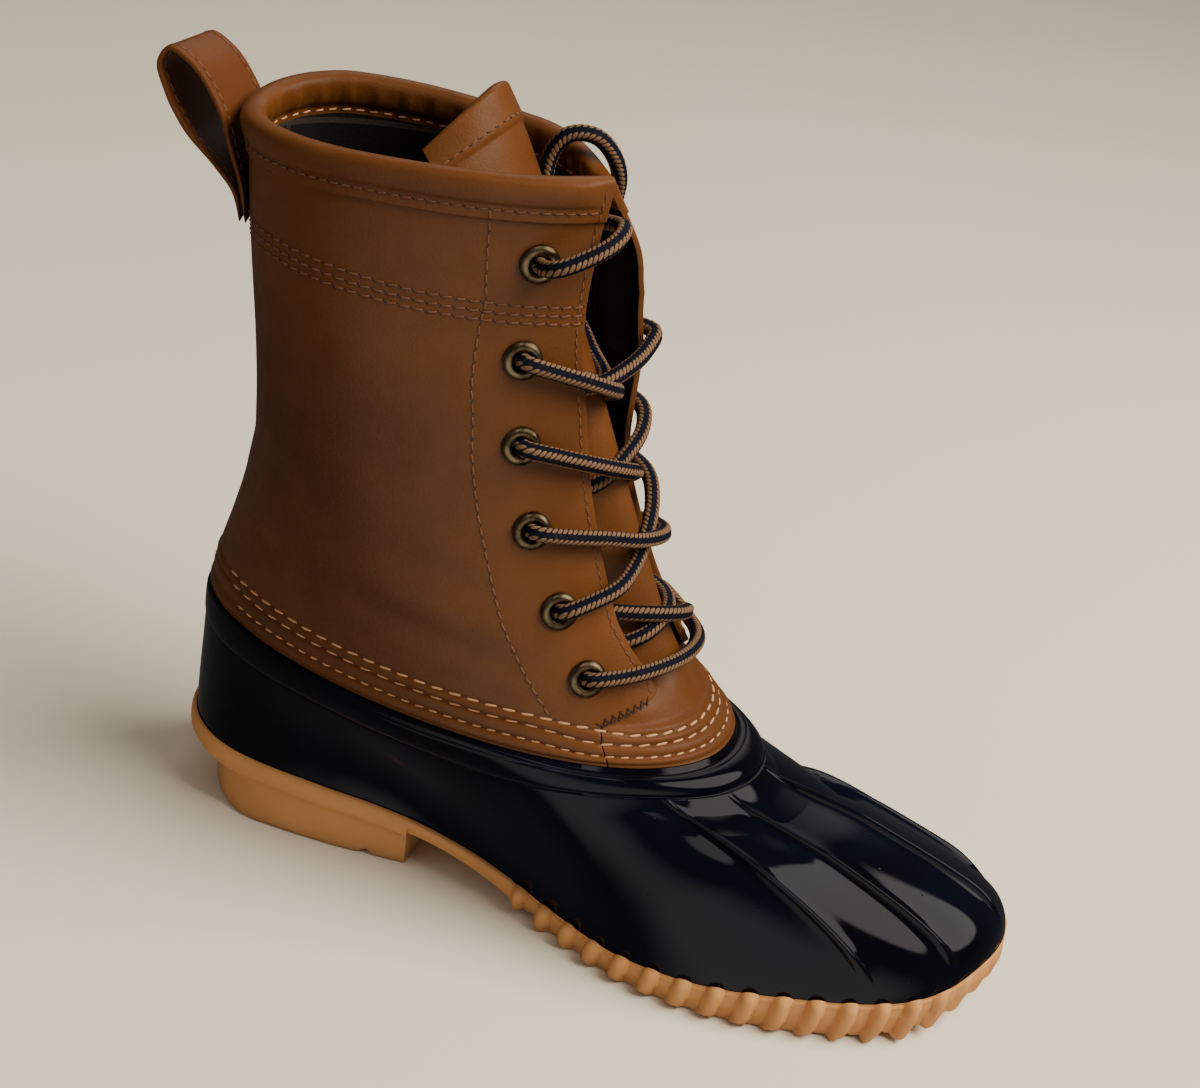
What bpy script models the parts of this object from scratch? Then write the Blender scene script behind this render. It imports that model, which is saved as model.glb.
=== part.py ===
"""Duck boot for a right foot: gum rubber sole, rubber shell, leather shaft, tongue and lace.

Frame: +X points to the toe, +Y to the inner (medial) side of the foot and +Z up.
The origin is the centre of the heel's flat bottom.  All sizes are in millimetres,
and x is counted from the back of the sole until an object is made.
"""
import math
from collections import namedtuple

import bmesh
import bpy
import numpy as np

MM = 0.001
GAP = 0.3                 # clearance between pieces that touch
HEEL_MIDDLE = 52.0        # from the back of the sole to the origin
OUTER, INNER = 0, 1       # the two sides of the foot: lateral and medial

# ---------------------------------------------------------------- driving sizes
SHELL_WALL = 2.0          # rubber shell
SHELL_INSET = 1.2         # shell's foot inside the sole's outline
RIM_HEIGHT = 5.0          # raised band at the shell's top edge
RIM_RAISE = 1.3
LIP_HEIGHT = 11.0         # thin lip of the shell, sewn behind the leather
LIP_WALL = 1.2
LIP_CLEAR = 1.0            # between the lip and the leather's inner side
RIDGE_RAISE = 1.8         # ridges that fan over the vamp
LEATHER = 2.8             # leather with its lining
FLAP_RAISE = 1.3          # lacing flap over the vamp leather
COLLAR_HEIGHT = 10.0      # padded roll at the top
COLLAR_RAISE = 1.6
COLLAR_PAD = 2.4
HOLE_CELL = 13.0          # square of leather that holds one eyelet hole
HOLE_RADIUS = 3.6
INSOLE_THICK = 4.0
INSOLE_INSET = 5.6
TONGUE_THICK = 3.0
ROPE_PITCH = 10.2         # twisted ribs on the sole's edge
ROPE_DEPTH = 1.7
ROPE_WAVE = 0.9
ROPE_START, ROPE_END = 134.0, 266.0
LUG_DEPTH = 1.8
FLANGE = 8.0              # lip of the sole around the heel
HEEL_BREAST = 92.0
RAND = 1.6                # low wall of the sole around the shell's foot

# Sole outline from the toe along the outer side to the heel and back along the inner
# side, with the shell's side profile above each point: the rim angle where its line
# ends, the height that the wall aims straight up, and how far (as a share) and how deep
# the crown reaches out from the rim.
Outline = namedtuple("Outline", "x y rim_angle wall crown fall")
OUTLINE = [
    Outline(281.0, 8.0, 0, 16, 0.72, 25),      # toe, middle ridge
    Outline(270.5, -19.0, 24, 16, 0.68, 24),   # outer ridge
    Outline(247.0, -37.5, 46, 16, 0.62, 20),   # outer ridge
    Outline(206.0, -49.6, 61, 19, 0.48, 17),
    Outline(171.0, -48.4, 73, 20, 0.38, 15),
    Outline(136.0, -35.8, 86, 20, 0.20, 12),
    Outline(101.0, -30.6, 101, 22, 0.00, 16),  # waist
    Outline(64.0, -34.6, 120, 22, 0.00, 16),
    Outline(31.0, -34.4, 142, 20, 0.00, 16),
    Outline(12.0, -24.0, 162, 20, 0.00, 16),
    Outline(3.5, -6.0, 180, 20, 0.00, 16),     # back of the heel
    Outline(10.5, 12.5, 198, 20, 0.00, 16),
    Outline(31.0, 23.5, 218, 20, 0.00, 16),
    Outline(64.0, 26.0, 240, 22, 0.00, 16),
    Outline(100.0, 26.0, 259, 24, 0.00, 16),
    Outline(134.0, 31.0, 274, 22, 0.10, 12),
    Outline(168.0, 41.0, 287, 22, 0.22, 18),
    Outline(206.0, 50.0, 300, 15, 0.22, 27),
    Outline(248.0, 48.5, 316, 14, 0.36, 30),   # inner ridge
    Outline(274.0, 30.0, 338, 14, 0.54, 28),   # inner ridge
]
RIDGES = (0, 1, 2, 18, 19)                     # rows of the outline that carry a ridge
BACK_ROW = 10

# Heights of the sole's edge: its top, and the bottom of the sole without the heel.
SoleHeight = namedtuple("SoleHeight", "x top bottom")
SOLE_HEIGHTS = [
    SoleHeight(0, 26.0, 14.5),
    SoleHeight(25, 25.4, 14.5),
    SoleHeight(55, 23.8, 14.5),
    SoleHeight(75, 22.2, 14.3),
    SoleHeight(92, 19.4, 13.4),
    SoleHeight(104, 17.0, 11.4),
    SoleHeight(116, 14.9, 8.8),
    SoleHeight(126, 12.8, 6.0),
    SoleHeight(136, 10.6, 2.2),
    SoleHeight(143, 9.4, 0.0),
    SoleHeight(165, 9.4, 0.0),
    SoleHeight(195, 11.2, 0.0),
    SoleHeight(222, 13.8, 0.0),
    SoleHeight(243, 14.8, 0.9),
    SoleHeight(258, 15.6, 2.4),
    SoleHeight(268, 17.6, 5.2),
    SoleHeight(277, 21.0, 9.0),
]

# Rings of the shaft from the leather's lower edge to the collar.  A ring leans from its
# back point to its front point; sag lowers its sides and power squares its front.  Skew
# lifts its outer side and lowers its inner side at the front, tilt does the opposite
# towards the back.
Ring = namedtuple("Ring", "back_x back_y back_z front_x front_z widest half sag power skew tilt")
RINGS = [
    Ring(8.5, -9.0, 75.5, 182.5, 67.0, 105, 42.0, 2.0, 2.2, 0.0, 0.0),
    Ring(11.0, -9.0, 90.0, 171.0, 78.0, 98, 42.0, 1.5, 2.2, 0.0, 0.0),
    Ring(15.0, -9.0, 104.5, 158.5, 94.0, 90, 42.5, 0.5, 2.2, 0.0, 0.0),
    Ring(19.0, -9.0, 122.0, 146.0, 115.5, 80, 42.0, 0.0, 2.2, 0.0, 0.0),
    Ring(21.0, -9.0, 143.0, 136.5, 140.0, 70, 41.5, 0.0, 2.05, 0.0, 0.0),
    Ring(19.5, -9.0, 166.5, 129.0, 166.5, 64, 41.0, 0.0, 2.0, 0.0, 0.0),
    Ring(15.0, -9.0, 197.0, 124.0, 196.5, 60, 38.5, 0.0, 2.0, 1.0, 0.5),
    Ring(10.5, -9.0, 234.5, 124.0, 234.0, 58, 35.5, 0.0, 2.4, 3.0, 1.5),
]
TOP_LEVEL = len(RINGS) - 1.0
LEAN_REACH = 18.0         # from the middle to where the skew is full

# Throat: half of the gap between the lacing flaps, by level.
Throat = namedtuple("Throat", "level half")
THROAT = [
    Throat(0.0, 24.0),
    Throat(1.0, 23.0),
    Throat(2.0, 21.0),
    Throat(3.5, 18.0),
    Throat(5.0, 16.0),
    Throat(7.0, 15.5),
]
THROAT_FOOT = 1.05        # level where the throat begins

# Eyelets from the top one down: level on the shaft and distance from the flap's edge.
Eyelet = namedtuple("Eyelet", "level setback")
EYELETS = [
    Eyelet(6.35, 17.0),
    Eyelet(5.59, 19.5),
    Eyelet(4.74, 22.0),
    Eyelet(3.77, 22.0),
    Eyelet(2.79, 18.5),
    Eyelet(1.83, 15.5),
]

# Tongue, from its foot inside the vamp to its top: half is its half width, bend sets
# its edges back and arch lowers them.
TongueRow = namedtuple("TongueRow", "x z half bend arch")
TONGUE = [
    TongueRow(167.9, 76.2, 18, 9.0, 0.0),
    TongueRow(164.3, 83.8, 18, 18.0, 0.0),
    TongueRow(157.6, 94.5, 18, 24.0, 0.0),
    TongueRow(151.0, 106.5, 18, 27.0, 0.0),
    TongueRow(144.8, 119.5, 18, 27.0, 0.0),
    TongueRow(137.8, 134.0, 18, 26.0, 0.0),
    TongueRow(130.5, 149.0, 19, 24.0, 0.0),
    TongueRow(123.5, 164.0, 20, 20.0, 0.0),
    TongueRow(116.0, 177.5, 22, 15.0, 0.0),
    TongueRow(106.3, 197.0, 24, 10.5, 1.0),
    TongueRow(95.5, 218.0, 26, 8.0, 5.0),
    TongueRow(87.0, 236.0, 26, 10.0, 11.0),
    TongueRow(82.5, 248.0, 24, 10.0, 15.0),
]

# Eyelet: radii and heights over the leather.
EYELET_BORE = 2.3
EYELET_TUBE = 2.95
EYELET_CROWN = 4.4
EYELET_FLANGE = 5.8
EYELET_LIFT = 0.8         # underside of the flange
EYELET_HEIGHT = 1.9

# Pull loop: the strap's middle line seen from the side, and where it lies across.
LoopPoint = namedtuple("LoopPoint", "x z")
LOOP = [
    LoopPoint(11.6, 198.0),
    LoopPoint(9.8, 205.0),
    LoopPoint(4.0, 212.0),
    LoopPoint(-5.0, 220.5),
    LoopPoint(-11.5, 230.0),
    LoopPoint(-14.0, 238.0),
    LoopPoint(-11.5, 241.8),
    LoopPoint(-4.5, 239.5),
    LoopPoint(2.5, 232.5),
    LoopPoint(7.0, 225.0),
    LoopPoint(9.4, 217.0),
    LoopPoint(12.0, 205.0),
    LoopPoint(13.5, 198.0),
]
LOOP_WIDTH = 25.0
LOOP_MIDDLE = -9.5        # across
LOOP_THICK = 1.5
LOOP_WRAP = 34.0          # radius of the shaft's back that its sewn end follows
LOOP_FREE = 222.0         # height above which the strap is flat

# Laced strands.  Each point lies at a level and a distance from the edge of one flap, and
# at a height over the leather; side 1 is the flap where the strand starts, -1 the other,
# and 0 the middle of the throat, where the distance is not used.
LACE_RADIUS = 2.4
LACE_SIDES = 6
LACE_STATIONS = 7
Strand = namedtuple("Strand", "side level distance height")
LACE_BAR = [
    Strand(1, 1.83, 15.5, 5.2),
    Strand(1, 1.80, -0.5, 3.6),
    Strand(0, 1.78, 0.0, 3.2),
    Strand(-1, 1.80, -0.5, 3.6),
    Strand(-1, 1.83, 15.5, 5.2),
]
LACE_CROSSES = {
    "lace_cross_1": [
        Strand(1, 6.24, 0.5, -8.5),
        Strand(-1, 5.84, 0.5, -8.5),
    ],
    "lace_cross_2": [
        Strand(1, 5.59, 19.5, 5.2),
        Strand(1, 5.36, -0.5, 3.6),
        Strand(0, 5.18, 0.0, 0.6),
        Strand(-1, 5.03, -6.5, -2.6),
        Strand(-1, 4.96, -0.5, -5.8),
    ],
    "lace_cross_3": [
        Strand(1, 4.74, 22.0, 5.2),
        Strand(1, 4.46, -0.5, 3.6),
        Strand(0, 4.26, 0.0, 1.8),
        Strand(-1, 4.10, -6.5, -2.4),
        Strand(-1, 4.04, -0.5, -5.8),
    ],
    "lace_cross_4": [
        Strand(1, 2.79, 18.5, 5.6),
        Strand(1, 3.05, -0.5, 3.6),
        Strand(0, 3.32, 0.0, 4.4),
        Strand(-1, 3.60, -0.5, 3.6),
        Strand(-1, 3.77, 22.0, 5.2),
    ],
    "lace_cross_5": [
        Strand(1, 2.14, -0.5, -5.8),
        Strand(1, 2.23, -7.0, -2.2),
        Strand(0, 2.37, 0.0, 3.5),
        Strand(-1, 2.51, -7.0, -2.2),
        Strand(-1, 2.60, -0.5, -5.8),
    ],
}

# Free ends of the lace: each runs from its top eyelet over the leather's edge and inside.
LACE_ENDS = {
    "lace_end_outer": [
        (104.5, -34.5, 211.5),
        (112.0, -33.0, 213.5),
        (119.5, -28.5, 217.0),
        (124.3, -21.0, 220.5),
        (123.5, -12.0, 222.5),
        (117.0, -8.0, 221.0),
    ],
    "lace_end_inner": [
        (103.5, 34.5, 210.0),
        (110.5, 34.0, 215.5),
        (114.8, 31.5, 224.0),
        (112.5, 27.0, 233.5),
        (105.5, 22.5, 238.8),
        (97.5, 19.5, 237.0),
        (93.5, 18.0, 230.0),
        (93.0, 17.5, 222.5),
    ],
}


# ---------------------------------------------------------------- small geometry tools
def smooth(rows, at, closed=False):
    """Read a smooth curve through the rows of a table at a fractional row number."""
    rows = np.asarray(rows, float)
    at = np.asarray(at, float)
    count = len(rows)
    first = np.floor(at).astype(int)
    if not closed:
        first = np.clip(first, 0, count - 2)
    part = (at - first)[..., None]

    def row(number):
        return rows[number % count if closed else np.clip(number, 0, count - 1)]

    a, b, c, d = row(first - 1), row(first), row(first + 1), row(first + 2)
    return 0.5 * (2 * b + (c - a) * part + (2 * a - 5 * b + 4 * c - d) * part ** 2
                  + (3 * b - a - 3 * c + d) * part ** 3)


def route(places, count):
    """Read points evenly along a smooth curve through unevenly spaced places."""
    places = np.asarray(places, float)
    run = np.concatenate([[0.0], np.cumsum(np.linalg.norm(np.diff(places, axis=0), axis=1))])
    slopes = np.gradient(places, run, axis=0)
    at = np.linspace(0.0, run[-1], count)
    first = np.clip(np.searchsorted(run, at, side="right") - 1, 0, len(run) - 2)
    span = (run[first + 1] - run[first])[:, None]
    t = (at[:, None] - run[first][:, None]) / span
    return (places[first] * (1 + 2 * t) * (1 - t) ** 2 + slopes[first] * span * t * (1 - t) ** 2
            + places[first + 1] * t ** 2 * (3 - 2 * t) - slopes[first + 1] * span * t ** 2 * (1 - t))


def unit(vectors):
    """Scale vectors to length one."""
    return vectors / np.linalg.norm(vectors, axis=-1, keepdims=True)


def step_up(value, start, end):
    """Rise smoothly from 0 at start to 1 at end."""
    part = np.clip((np.asarray(value, float) - start) / (end - start), 0.0, 1.0)
    return part * part * (3.0 - 2.0 * part)


def material(name, colour, roughness, metallic=0.0):
    """Make a plain Principled material."""
    made = bpy.data.materials.new(name)
    made.use_nodes = True
    shader = made.node_tree.nodes["Principled BSDF"]
    shader.inputs["Base Color"].default_value = (*colour, 1.0)
    shader.inputs["Roughness"].default_value = roughness
    shader.inputs["Metallic"].default_value = metallic
    return made


def make_object(name, points, faces, finish, sharp=math.radians(35)):
    """Make one closed piece from millimetre points and its faces."""
    shift = np.array([HEEL_MIDDLE, 0.0, 0.0])
    mesh = bpy.data.meshes.new(name)
    mesh.from_pydata(((np.asarray(points) - shift) * MM).tolist(), [], faces)
    cleaned = bmesh.new()
    cleaned.from_mesh(mesh)
    bmesh.ops.triangulate(cleaned, faces=cleaned.faces)
    bmesh.ops.recalc_face_normals(cleaned, faces=cleaned.faces)
    cleaned.to_mesh(mesh)
    cleaned.free()
    mesh.shade_smooth()
    mesh.set_sharp_from_angle(angle=sharp)
    mesh.materials.append(finish)
    piece = bpy.data.objects.new(name, mesh)
    bpy.context.collection.objects.link(piece)
    return piece


def bridge(first, second, count, closed=True):
    """Join two rows of points, given by the index of their first points, with quads."""
    steps = count if closed else count - 1
    return [(first + k, first + (k + 1) % count, second + (k + 1) % count, second + k)
            for k in range(steps)]


# ---------------------------------------------------------------- sole outline
def outline_points(rows_at):
    """Read points of the sole's outline and its outward normals."""
    table = [(row.x, row.y) for row in OUTLINE]
    points = smooth(table, rows_at, closed=True)
    ahead = smooth(table, rows_at + 0.01, closed=True)
    behind = smooth(table, rows_at - 0.01, closed=True)
    along = unit(ahead - behind)
    return points, np.stack([-along[..., 1], along[..., 0]], axis=-1)


def outline_sides():
    """Split a finely read outline at its heel and toe tips into its two sides."""
    points, normals = outline_points(np.linspace(0, len(OUTLINE), 2401)[:-1])
    toe, heel = np.argmax(points[:, 0]), np.argmin(points[:, 0])
    both = np.hstack([points, normals])
    both = np.roll(both, -toe, axis=0)
    heel = (heel - toe) % len(both)
    outer = both[:heel + 1][::-1]
    inner = np.vstack([both[heel:], both[:1]])
    return outer, inner


SIDES = outline_sides()
SOLE_LENGTH = SIDES[OUTER][-1, 0] - SIDES[OUTER][0, 0]


def edge(x, side, inset):
    """Read the outline at x on one side, moved inwards by inset."""
    table = SIDES[side]
    x = np.clip(x, table[0, 0], table[-1, 0])
    values = np.stack([np.interp(x, table[:, 0], table[:, k]) for k in range(1, 4)])
    normal = values[1:] / np.linalg.norm(values[1:], axis=0)
    return np.stack([x - inset * normal[0], values[0] - inset * normal[1]], axis=-1)


def sole_height(x):
    """Read the sole's top and bottom heights at x."""
    places = [row.x for row in SOLE_HEIGHTS]
    table = [(row.top, row.bottom) for row in SOLE_HEIGHTS]
    at = np.interp(x, places, np.arange(len(places)))
    heights = smooth(table, at)
    return heights[..., 0], np.maximum(heights[..., 1], 0.0)


def round_trip(stations, rail):
    """Lay one rail from the heel tip round the outer side to the toe and back.

    rail(x, side) gives the rail's points at the stations x of one side.
    """
    outer = rail(stations, OUTER)
    inner = rail(stations[1:-1], INNER)
    return np.vstack([outer, inner[::-1]])


def ladder(start, stations):
    """Close a round trip of stations with quads from one side to the other."""
    count = len(stations)
    total = 2 * count - 2

    def across(k):
        return start + (total - k) % total

    faces = [(start, start + 1, across(1)),
             (start + count - 2, start + count - 1, across(count - 2))]
    faces += [(start + k, start + k + 1, across(k + 1), across(k)) for k in range(1, count - 2)]
    return faces


def stacked(name, stations, rails, finish):
    """Make a closed piece from rails that lie on each other, closed below and above."""
    loops = [round_trip(stations, rail) for rail in rails]
    count = len(loops[0])
    faces = ladder(0, stations) + ladder(count * (len(loops) - 1), stations)
    for k in range(len(loops) - 1):
        faces += bridge(count * k, count * (k + 1), count)
    return make_object(name, np.vstack(loops), faces, finish)


# ---------------------------------------------------------------- outsole
def tip_stations(end, inward, reach, count):
    """Place stations closely at a rounded tip."""
    turn = np.linspace(0.0, math.radians(80), count)
    return end + inward * reach * (1.0 - np.cos(turn))


def outsole_stations():
    """Place the stations along the sole: four for each twisted rib."""
    start, end = SIDES[OUTER][0, 0], SIDES[OUTER][-1, 0]
    heel = tip_stations(start, 1.0, 20.0, 6)
    rope = np.arange(ROPE_START, ROPE_END - 4.0, ROPE_PITCH / 4)
    toe = tip_stations(end, -1.0, 15.0, 6)[::-1]
    plain = [21, 24, 27, 36, 48, 60, 72, 76, 79, 82, 88,
             HEEL_BREAST - 0.5, HEEL_BREAST + 0.5, 98, 106, 115, 123, 130]
    return np.concatenate([heel, plain, rope, toe])


def rope(x, row):
    """Height of the twisted ribs on the sole's edge, 0 to 1; each row is turned a little."""
    turn = 2 * math.pi * (x - ROPE_START) / ROPE_PITCH + row * math.pi / 3
    shown = step_up(x, ROPE_START - 6, ROPE_START) * (1.0 - step_up(x, ROPE_END - 8, ROPE_END))
    return (0.5 + 0.5 * np.cos(turn)) * shown


def grooves(x):
    """Depth of the grooves across the tread: between the ribs, and two in the heel."""
    turn = 2 * math.pi * (x - ROPE_START) / ROPE_PITCH
    shown = step_up(x, ROPE_START - 1, ROPE_START + 1) * (1.0 - step_up(x, ROPE_END - 6, ROPE_END - 4))
    front = np.clip(-np.cos(turn), 0.0, 1.0) * shown
    heel = np.isclose(x, 24) | np.isclose(x, 79)
    return LUG_DEPTH * np.maximum(front, heel)


def in_heel(x):
    """1 on the heel block and 0 before it."""
    return (x < HEEL_BREAST).astype(float)


def sole_rail(share, inset, row=None, wave=0.0, under=False):
    """Make one rail of the outsole's side.

    share runs from 0 at the tread to 1 at the top; under marks the heel block's rails.
    """
    def rail(x, side):
        top, thin = sole_height(x)
        flange = top - FLANGE * in_heel(x) - (top - thin) * 0.7 * (1 - in_heel(x))
        base = thin * (1 - in_heel(x))
        if under:
            z = base + share * (flange - base) + grooves(x)
            block = 1.0 + 9.0 * (1 - step_up(x, 0, 40))
            moved = inset + block * in_heel(x)
        else:
            z = flange + share * (top - flange)
            moved = np.full_like(x, inset)
        if row is not None:
            ribs = rope(x, row)
            moved = moved - ROPE_DEPTH * (ribs - 0.35)
            z = z + wave * (2 * ribs - 1) * step_up(x, ROPE_START - 6, ROPE_START)
        return np.column_stack([edge(x, side, moved), z])
    return rail


def seat_rail(inset, raised):
    """Make a rail on the sole's top, where the shell and the insole sit."""
    def rail(x, side):
        top, _ = sole_height(x)
        return np.column_stack([edge(x, side, np.full_like(x, inset)), top - RAND + raised])
    return rail


def build_outsole(finish):
    """One moulding of sole, heel block, edge ribs and tread."""
    rails = [
        sole_rail(0.0, 2.2, under=True),
        sole_rail(0.25, 1.0, under=True),
        sole_rail(0.97, 0.7, under=True),
        sole_rail(0.0, 0.0, row=2),
        sole_rail(0.3, -0.6, row=1),
        sole_rail(0.75, -0.6, row=0),
        sole_rail(0.97, -0.2, row=0, wave=ROPE_WAVE),
        sole_rail(1.0, 0.7, row=None),
        seat_rail(SHELL_INSET - 2 * GAP, 0.0),
    ]
    return stacked("outsole", outsole_stations(), rails, finish)


def build_insole(finish):
    """Foot bed inside the shell."""
    start, end = SIDES[OUTER][0, 0], SIDES[OUTER][-1, 0]
    stations = np.concatenate([tip_stations(start, 1.0, 20.0, 5),
                               np.linspace(24, 256, 16),
                               tip_stations(end, -1.0, 15.0, 5)[::-1]])
    rails = [seat_rail(INSOLE_INSET, 2 * GAP),
             seat_rail(INSOLE_INSET, INSOLE_THICK - 1.0),
             seat_rail(INSOLE_INSET + 1.2, INSOLE_THICK)]
    return stacked("insole", stations, rails, finish)


# ---------------------------------------------------------------- shaft surface
def ring_point(level, angle):
    """Read the shaft's outer form: level counts the rings, angle turns from the front."""
    row = smooth([tuple(ring) for ring in RINGS], level)
    (back_x, back_y, back_z, front_x, front_z, widest, half, sag, power, skew,
     tilt) = np.moveaxis(row, -1, 0)
    forward, aside = np.cos(angle), np.sin(angle)
    power = np.where(forward >= 0, power, 2.0)
    x = widest + np.where(forward >= 0, front_x - widest, widest - back_x) \
        * np.sign(forward) * np.abs(forward) ** (2.0 / power)
    share = (x - back_x) / (front_x - back_x)
    y = back_y * (1.0 - share) - half * np.sign(aside) * np.abs(aside) ** (2.0 / power)
    lean = (skew * share - 2 * tilt * (1.0 - share)) * np.clip(-y / LEAN_REACH, -1.0, 1.0)
    z = back_z + (front_z - back_z) * share - sag * aside ** 2 + lean
    return np.stack([x, y, z], axis=-1)


def ring_normal(level, angle):
    """Outward normal of the shaft's form."""
    low, high = np.maximum(level - 0.02, 0.0), np.minimum(level + 0.02, TOP_LEVEL)
    up = ring_point(high, angle) - ring_point(low, angle)
    turn = ring_point(level, angle + 0.02) - ring_point(level, angle - 0.02)
    return unit(np.cross(up, turn))


def throat_angle(level):
    """Angle of the lacing flap's edge."""
    half_gap = np.interp(level, [row.level for row in THROAT], [row.half for row in THROAT])
    row = smooth([(ring.half, ring.power) for ring in RINGS], level)
    return np.arcsin((half_gap / row[..., 0]) ** (row[..., 1] / 2.0))


def angle_at(level, distance):
    """Angle at a distance along the ring from the flap's edge; negative lies in the throat."""
    angles = np.linspace(0.0, math.pi, 241)
    points = ring_point(np.full_like(angles, level), angles)
    run = np.concatenate([[0.0], np.cumsum(np.linalg.norm(np.diff(points, axis=0), axis=1))])
    start = np.interp(throat_angle(level), angles, run)
    return np.interp(start + distance, run, angles)


def half_girth(level):
    """Length of the ring from the flap's edge to the middle of the back."""
    angles = np.linspace(throat_angle(level), math.pi, 241)
    points = ring_point(np.full_like(angles, level), angles)
    return np.linalg.norm(np.diff(points, axis=0), axis=1).sum()


# ---------------------------------------------------------------- rubber shell
def shell_profile(rows_at, share):
    """Read the shell's outer side; share runs from 0 at the sole to 1 at the rim."""
    table = [(row.rim_angle, row.wall, row.crown, row.fall) for row in OUTLINE]
    table = np.asarray(table, float)
    lap = np.floor(rows_at / len(OUTLINE))
    inside = rows_at - lap * len(OUTLINE)
    turned = np.vstack([table[-1:], table, table[:2]])
    turned[0, 0] -= 360
    turned[-2:, 0] += 360
    values = smooth(turned, inside + 1)
    rim_angle, wall, crown, fall = np.moveaxis(values, -1, 0)
    rim_angle = np.radians(rim_angle)
    foot, normal = outline_points(rows_at)
    foot = foot - SHELL_INSET * normal
    top, _ = sole_height(foot[..., 0])
    start = np.concatenate([foot, (top - RAND + 2 * GAP)[..., None]], axis=-1)
    level = np.zeros_like(rim_angle)
    away = ring_normal(level, rim_angle)
    away[..., 2] = 0
    away = unit(away)
    forward = step_up(np.cos(rim_angle), 0.2, 1.0)
    end = ring_point(level, rim_angle) + away * (1.2 + 1.3 * forward)[..., None]
    end[..., 2] -= 0.6 + 1.4 * forward
    up = np.array([0.0, 0.0, 1.0])
    first = start + up * wall[..., None]
    outward = (start - end) * np.array([1.0, 1.0, 0.0])
    second = end + outward * crown[..., None] - up * fall[..., None]
    t = np.asarray(share, float)[..., None]
    return ((1 - t) ** 3 * start + 3 * (1 - t) ** 2 * t * first
            + 3 * (1 - t) * t ** 2 * second + t ** 3 * end)


def shell_normal(rows_at, share):
    """Outward normal of the shell's outer side."""
    low, high = np.maximum(share - 0.01, 0.0), np.minimum(share + 0.01, 1.0)
    up = shell_profile(rows_at, high) - shell_profile(rows_at, low)
    turn = shell_profile(rows_at + 0.02, share) - shell_profile(rows_at - 0.02, share)
    return unit(np.cross(up, turn))


def shell_columns():
    """Place the shell's columns: three on each ridge, two for each other row."""
    columns = []
    for row in range(len(OUTLINE)):
        if row in RIDGES:
            columns += [row - 0.13, row, row + 0.13, row + 0.36, row + 0.64]
        else:
            columns += [row, row + 0.5]
    return np.array(sorted(columns)) % len(OUTLINE)


def ridge_shape(rows_at, share):
    """Height of the ridges, 0 to 1."""
    near = np.zeros_like(rows_at)
    for row in RIDGES:
        apart = np.abs((rows_at - row + BACK_ROW) % len(OUTLINE) - BACK_ROW)
        near = np.maximum(near, np.clip(1.0 - apart / 0.12, 0.0, 1.0))
    return near * step_up(share, 0.12, 0.4)


def build_shell(finish):
    """Rubber shell: hollow, open at the rim and under the foot, with a lip for the leather."""
    columns = shell_columns()
    shares = [0.0, 0.07, 0.15, 0.25, 0.37, 0.5, 0.63, 0.75, 0.84]
    loops = []
    for share in shares:
        at = np.full_like(columns, share)
        raised = RIDGE_RAISE * ridge_shape(columns, share)
        loops.append(shell_profile(columns, at) + shell_normal(columns, at) * raised[:, None])
    rim = shell_profile(columns, np.ones_like(columns))
    angles = rim_angles(columns)
    level = np.zeros_like(angles)
    leather, normal = ring_point(level, angles), ring_normal(level, angles)
    down = unit(leather - ring_point(level + 0.1, angles))
    away = unit(normal * np.array([1.0, 1.0, 0.0]))
    near = shell_profile(columns, np.full_like(columns, 0.98))
    band_share = 1.0 - 0.02 * RIM_HEIGHT / np.linalg.norm(rim - near, axis=1)
    band = shell_profile(columns, band_share)
    loops += [band, band + away * RIM_RAISE, rim + away * 0.6]
    lip_level = np.full_like(angles, LIP_HEIGHT / 15.0)
    lip, lip_normal = ring_point(lip_level, angles), ring_normal(lip_level, angles)
    seat = leather + down * GAP
    outside, inside = LEATHER + LIP_CLEAR, LEATHER + LIP_CLEAR + LIP_WALL
    loops += [seat, seat - normal * outside, lip - lip_normal * outside,
              lip - lip_normal * inside, leather - normal * inside + down * SHELL_WALL]
    for share in (0.86, 0.63, 0.4, 0.2, 0.0):
        at = np.full_like(columns, share)
        inward = shell_normal(columns, at)
        if share == 0.0:
            inward = unit(inward * np.array([1.0, 1.0, 0.0]))
        loops.append(shell_profile(columns, at) - inward * SHELL_WALL)
    count = len(columns)
    faces = []
    for k in range(len(loops)):
        faces += bridge(count * k, count * ((k + 1) % len(loops)), count)
    return make_object("rubber_shell", np.vstack(loops), faces, finish)


def rim_angles(rows_at):
    """Rim angle of each shell column."""
    angles = np.array([row.rim_angle for row in OUTLINE] + [360.0, 382.0])
    angles = np.concatenate([[angles[-3] - 360], angles])
    return np.radians(smooth(angles[:, None], rows_at + 1)[:, 0])


# ---------------------------------------------------------------- leather shaft
class Sheet:
    """A curved sheet of cells, thickened to one closed wall."""

    def __init__(self):
        self.outer = []
        self.inner = []
        self.cells = []

    def vertex(self, outer, inner):
        """Add one vertex with its outer and inner place."""
        self.outer.append(outer)
        self.inner.append(inner)
        return len(self.outer) - 1

    def faces(self):
        """Faces of both skins and of the walls along every open edge."""
        count = len(self.outer)
        used = {}
        for cell in self.cells:
            for k, first in enumerate(cell):
                used[(first, cell[(k + 1) % len(cell)])] = True
        faces = list(self.cells)
        faces += [tuple(count + v for v in reversed(cell)) for cell in self.cells]
        faces += [(b, a, count + a, count + b) for a, b in used if (b, a) not in used]
        return faces

    def build(self, name, finish):
        """Make the object."""
        points = np.array(self.outer + self.inner)
        return make_object(name, points, self.faces(), finish)


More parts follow.
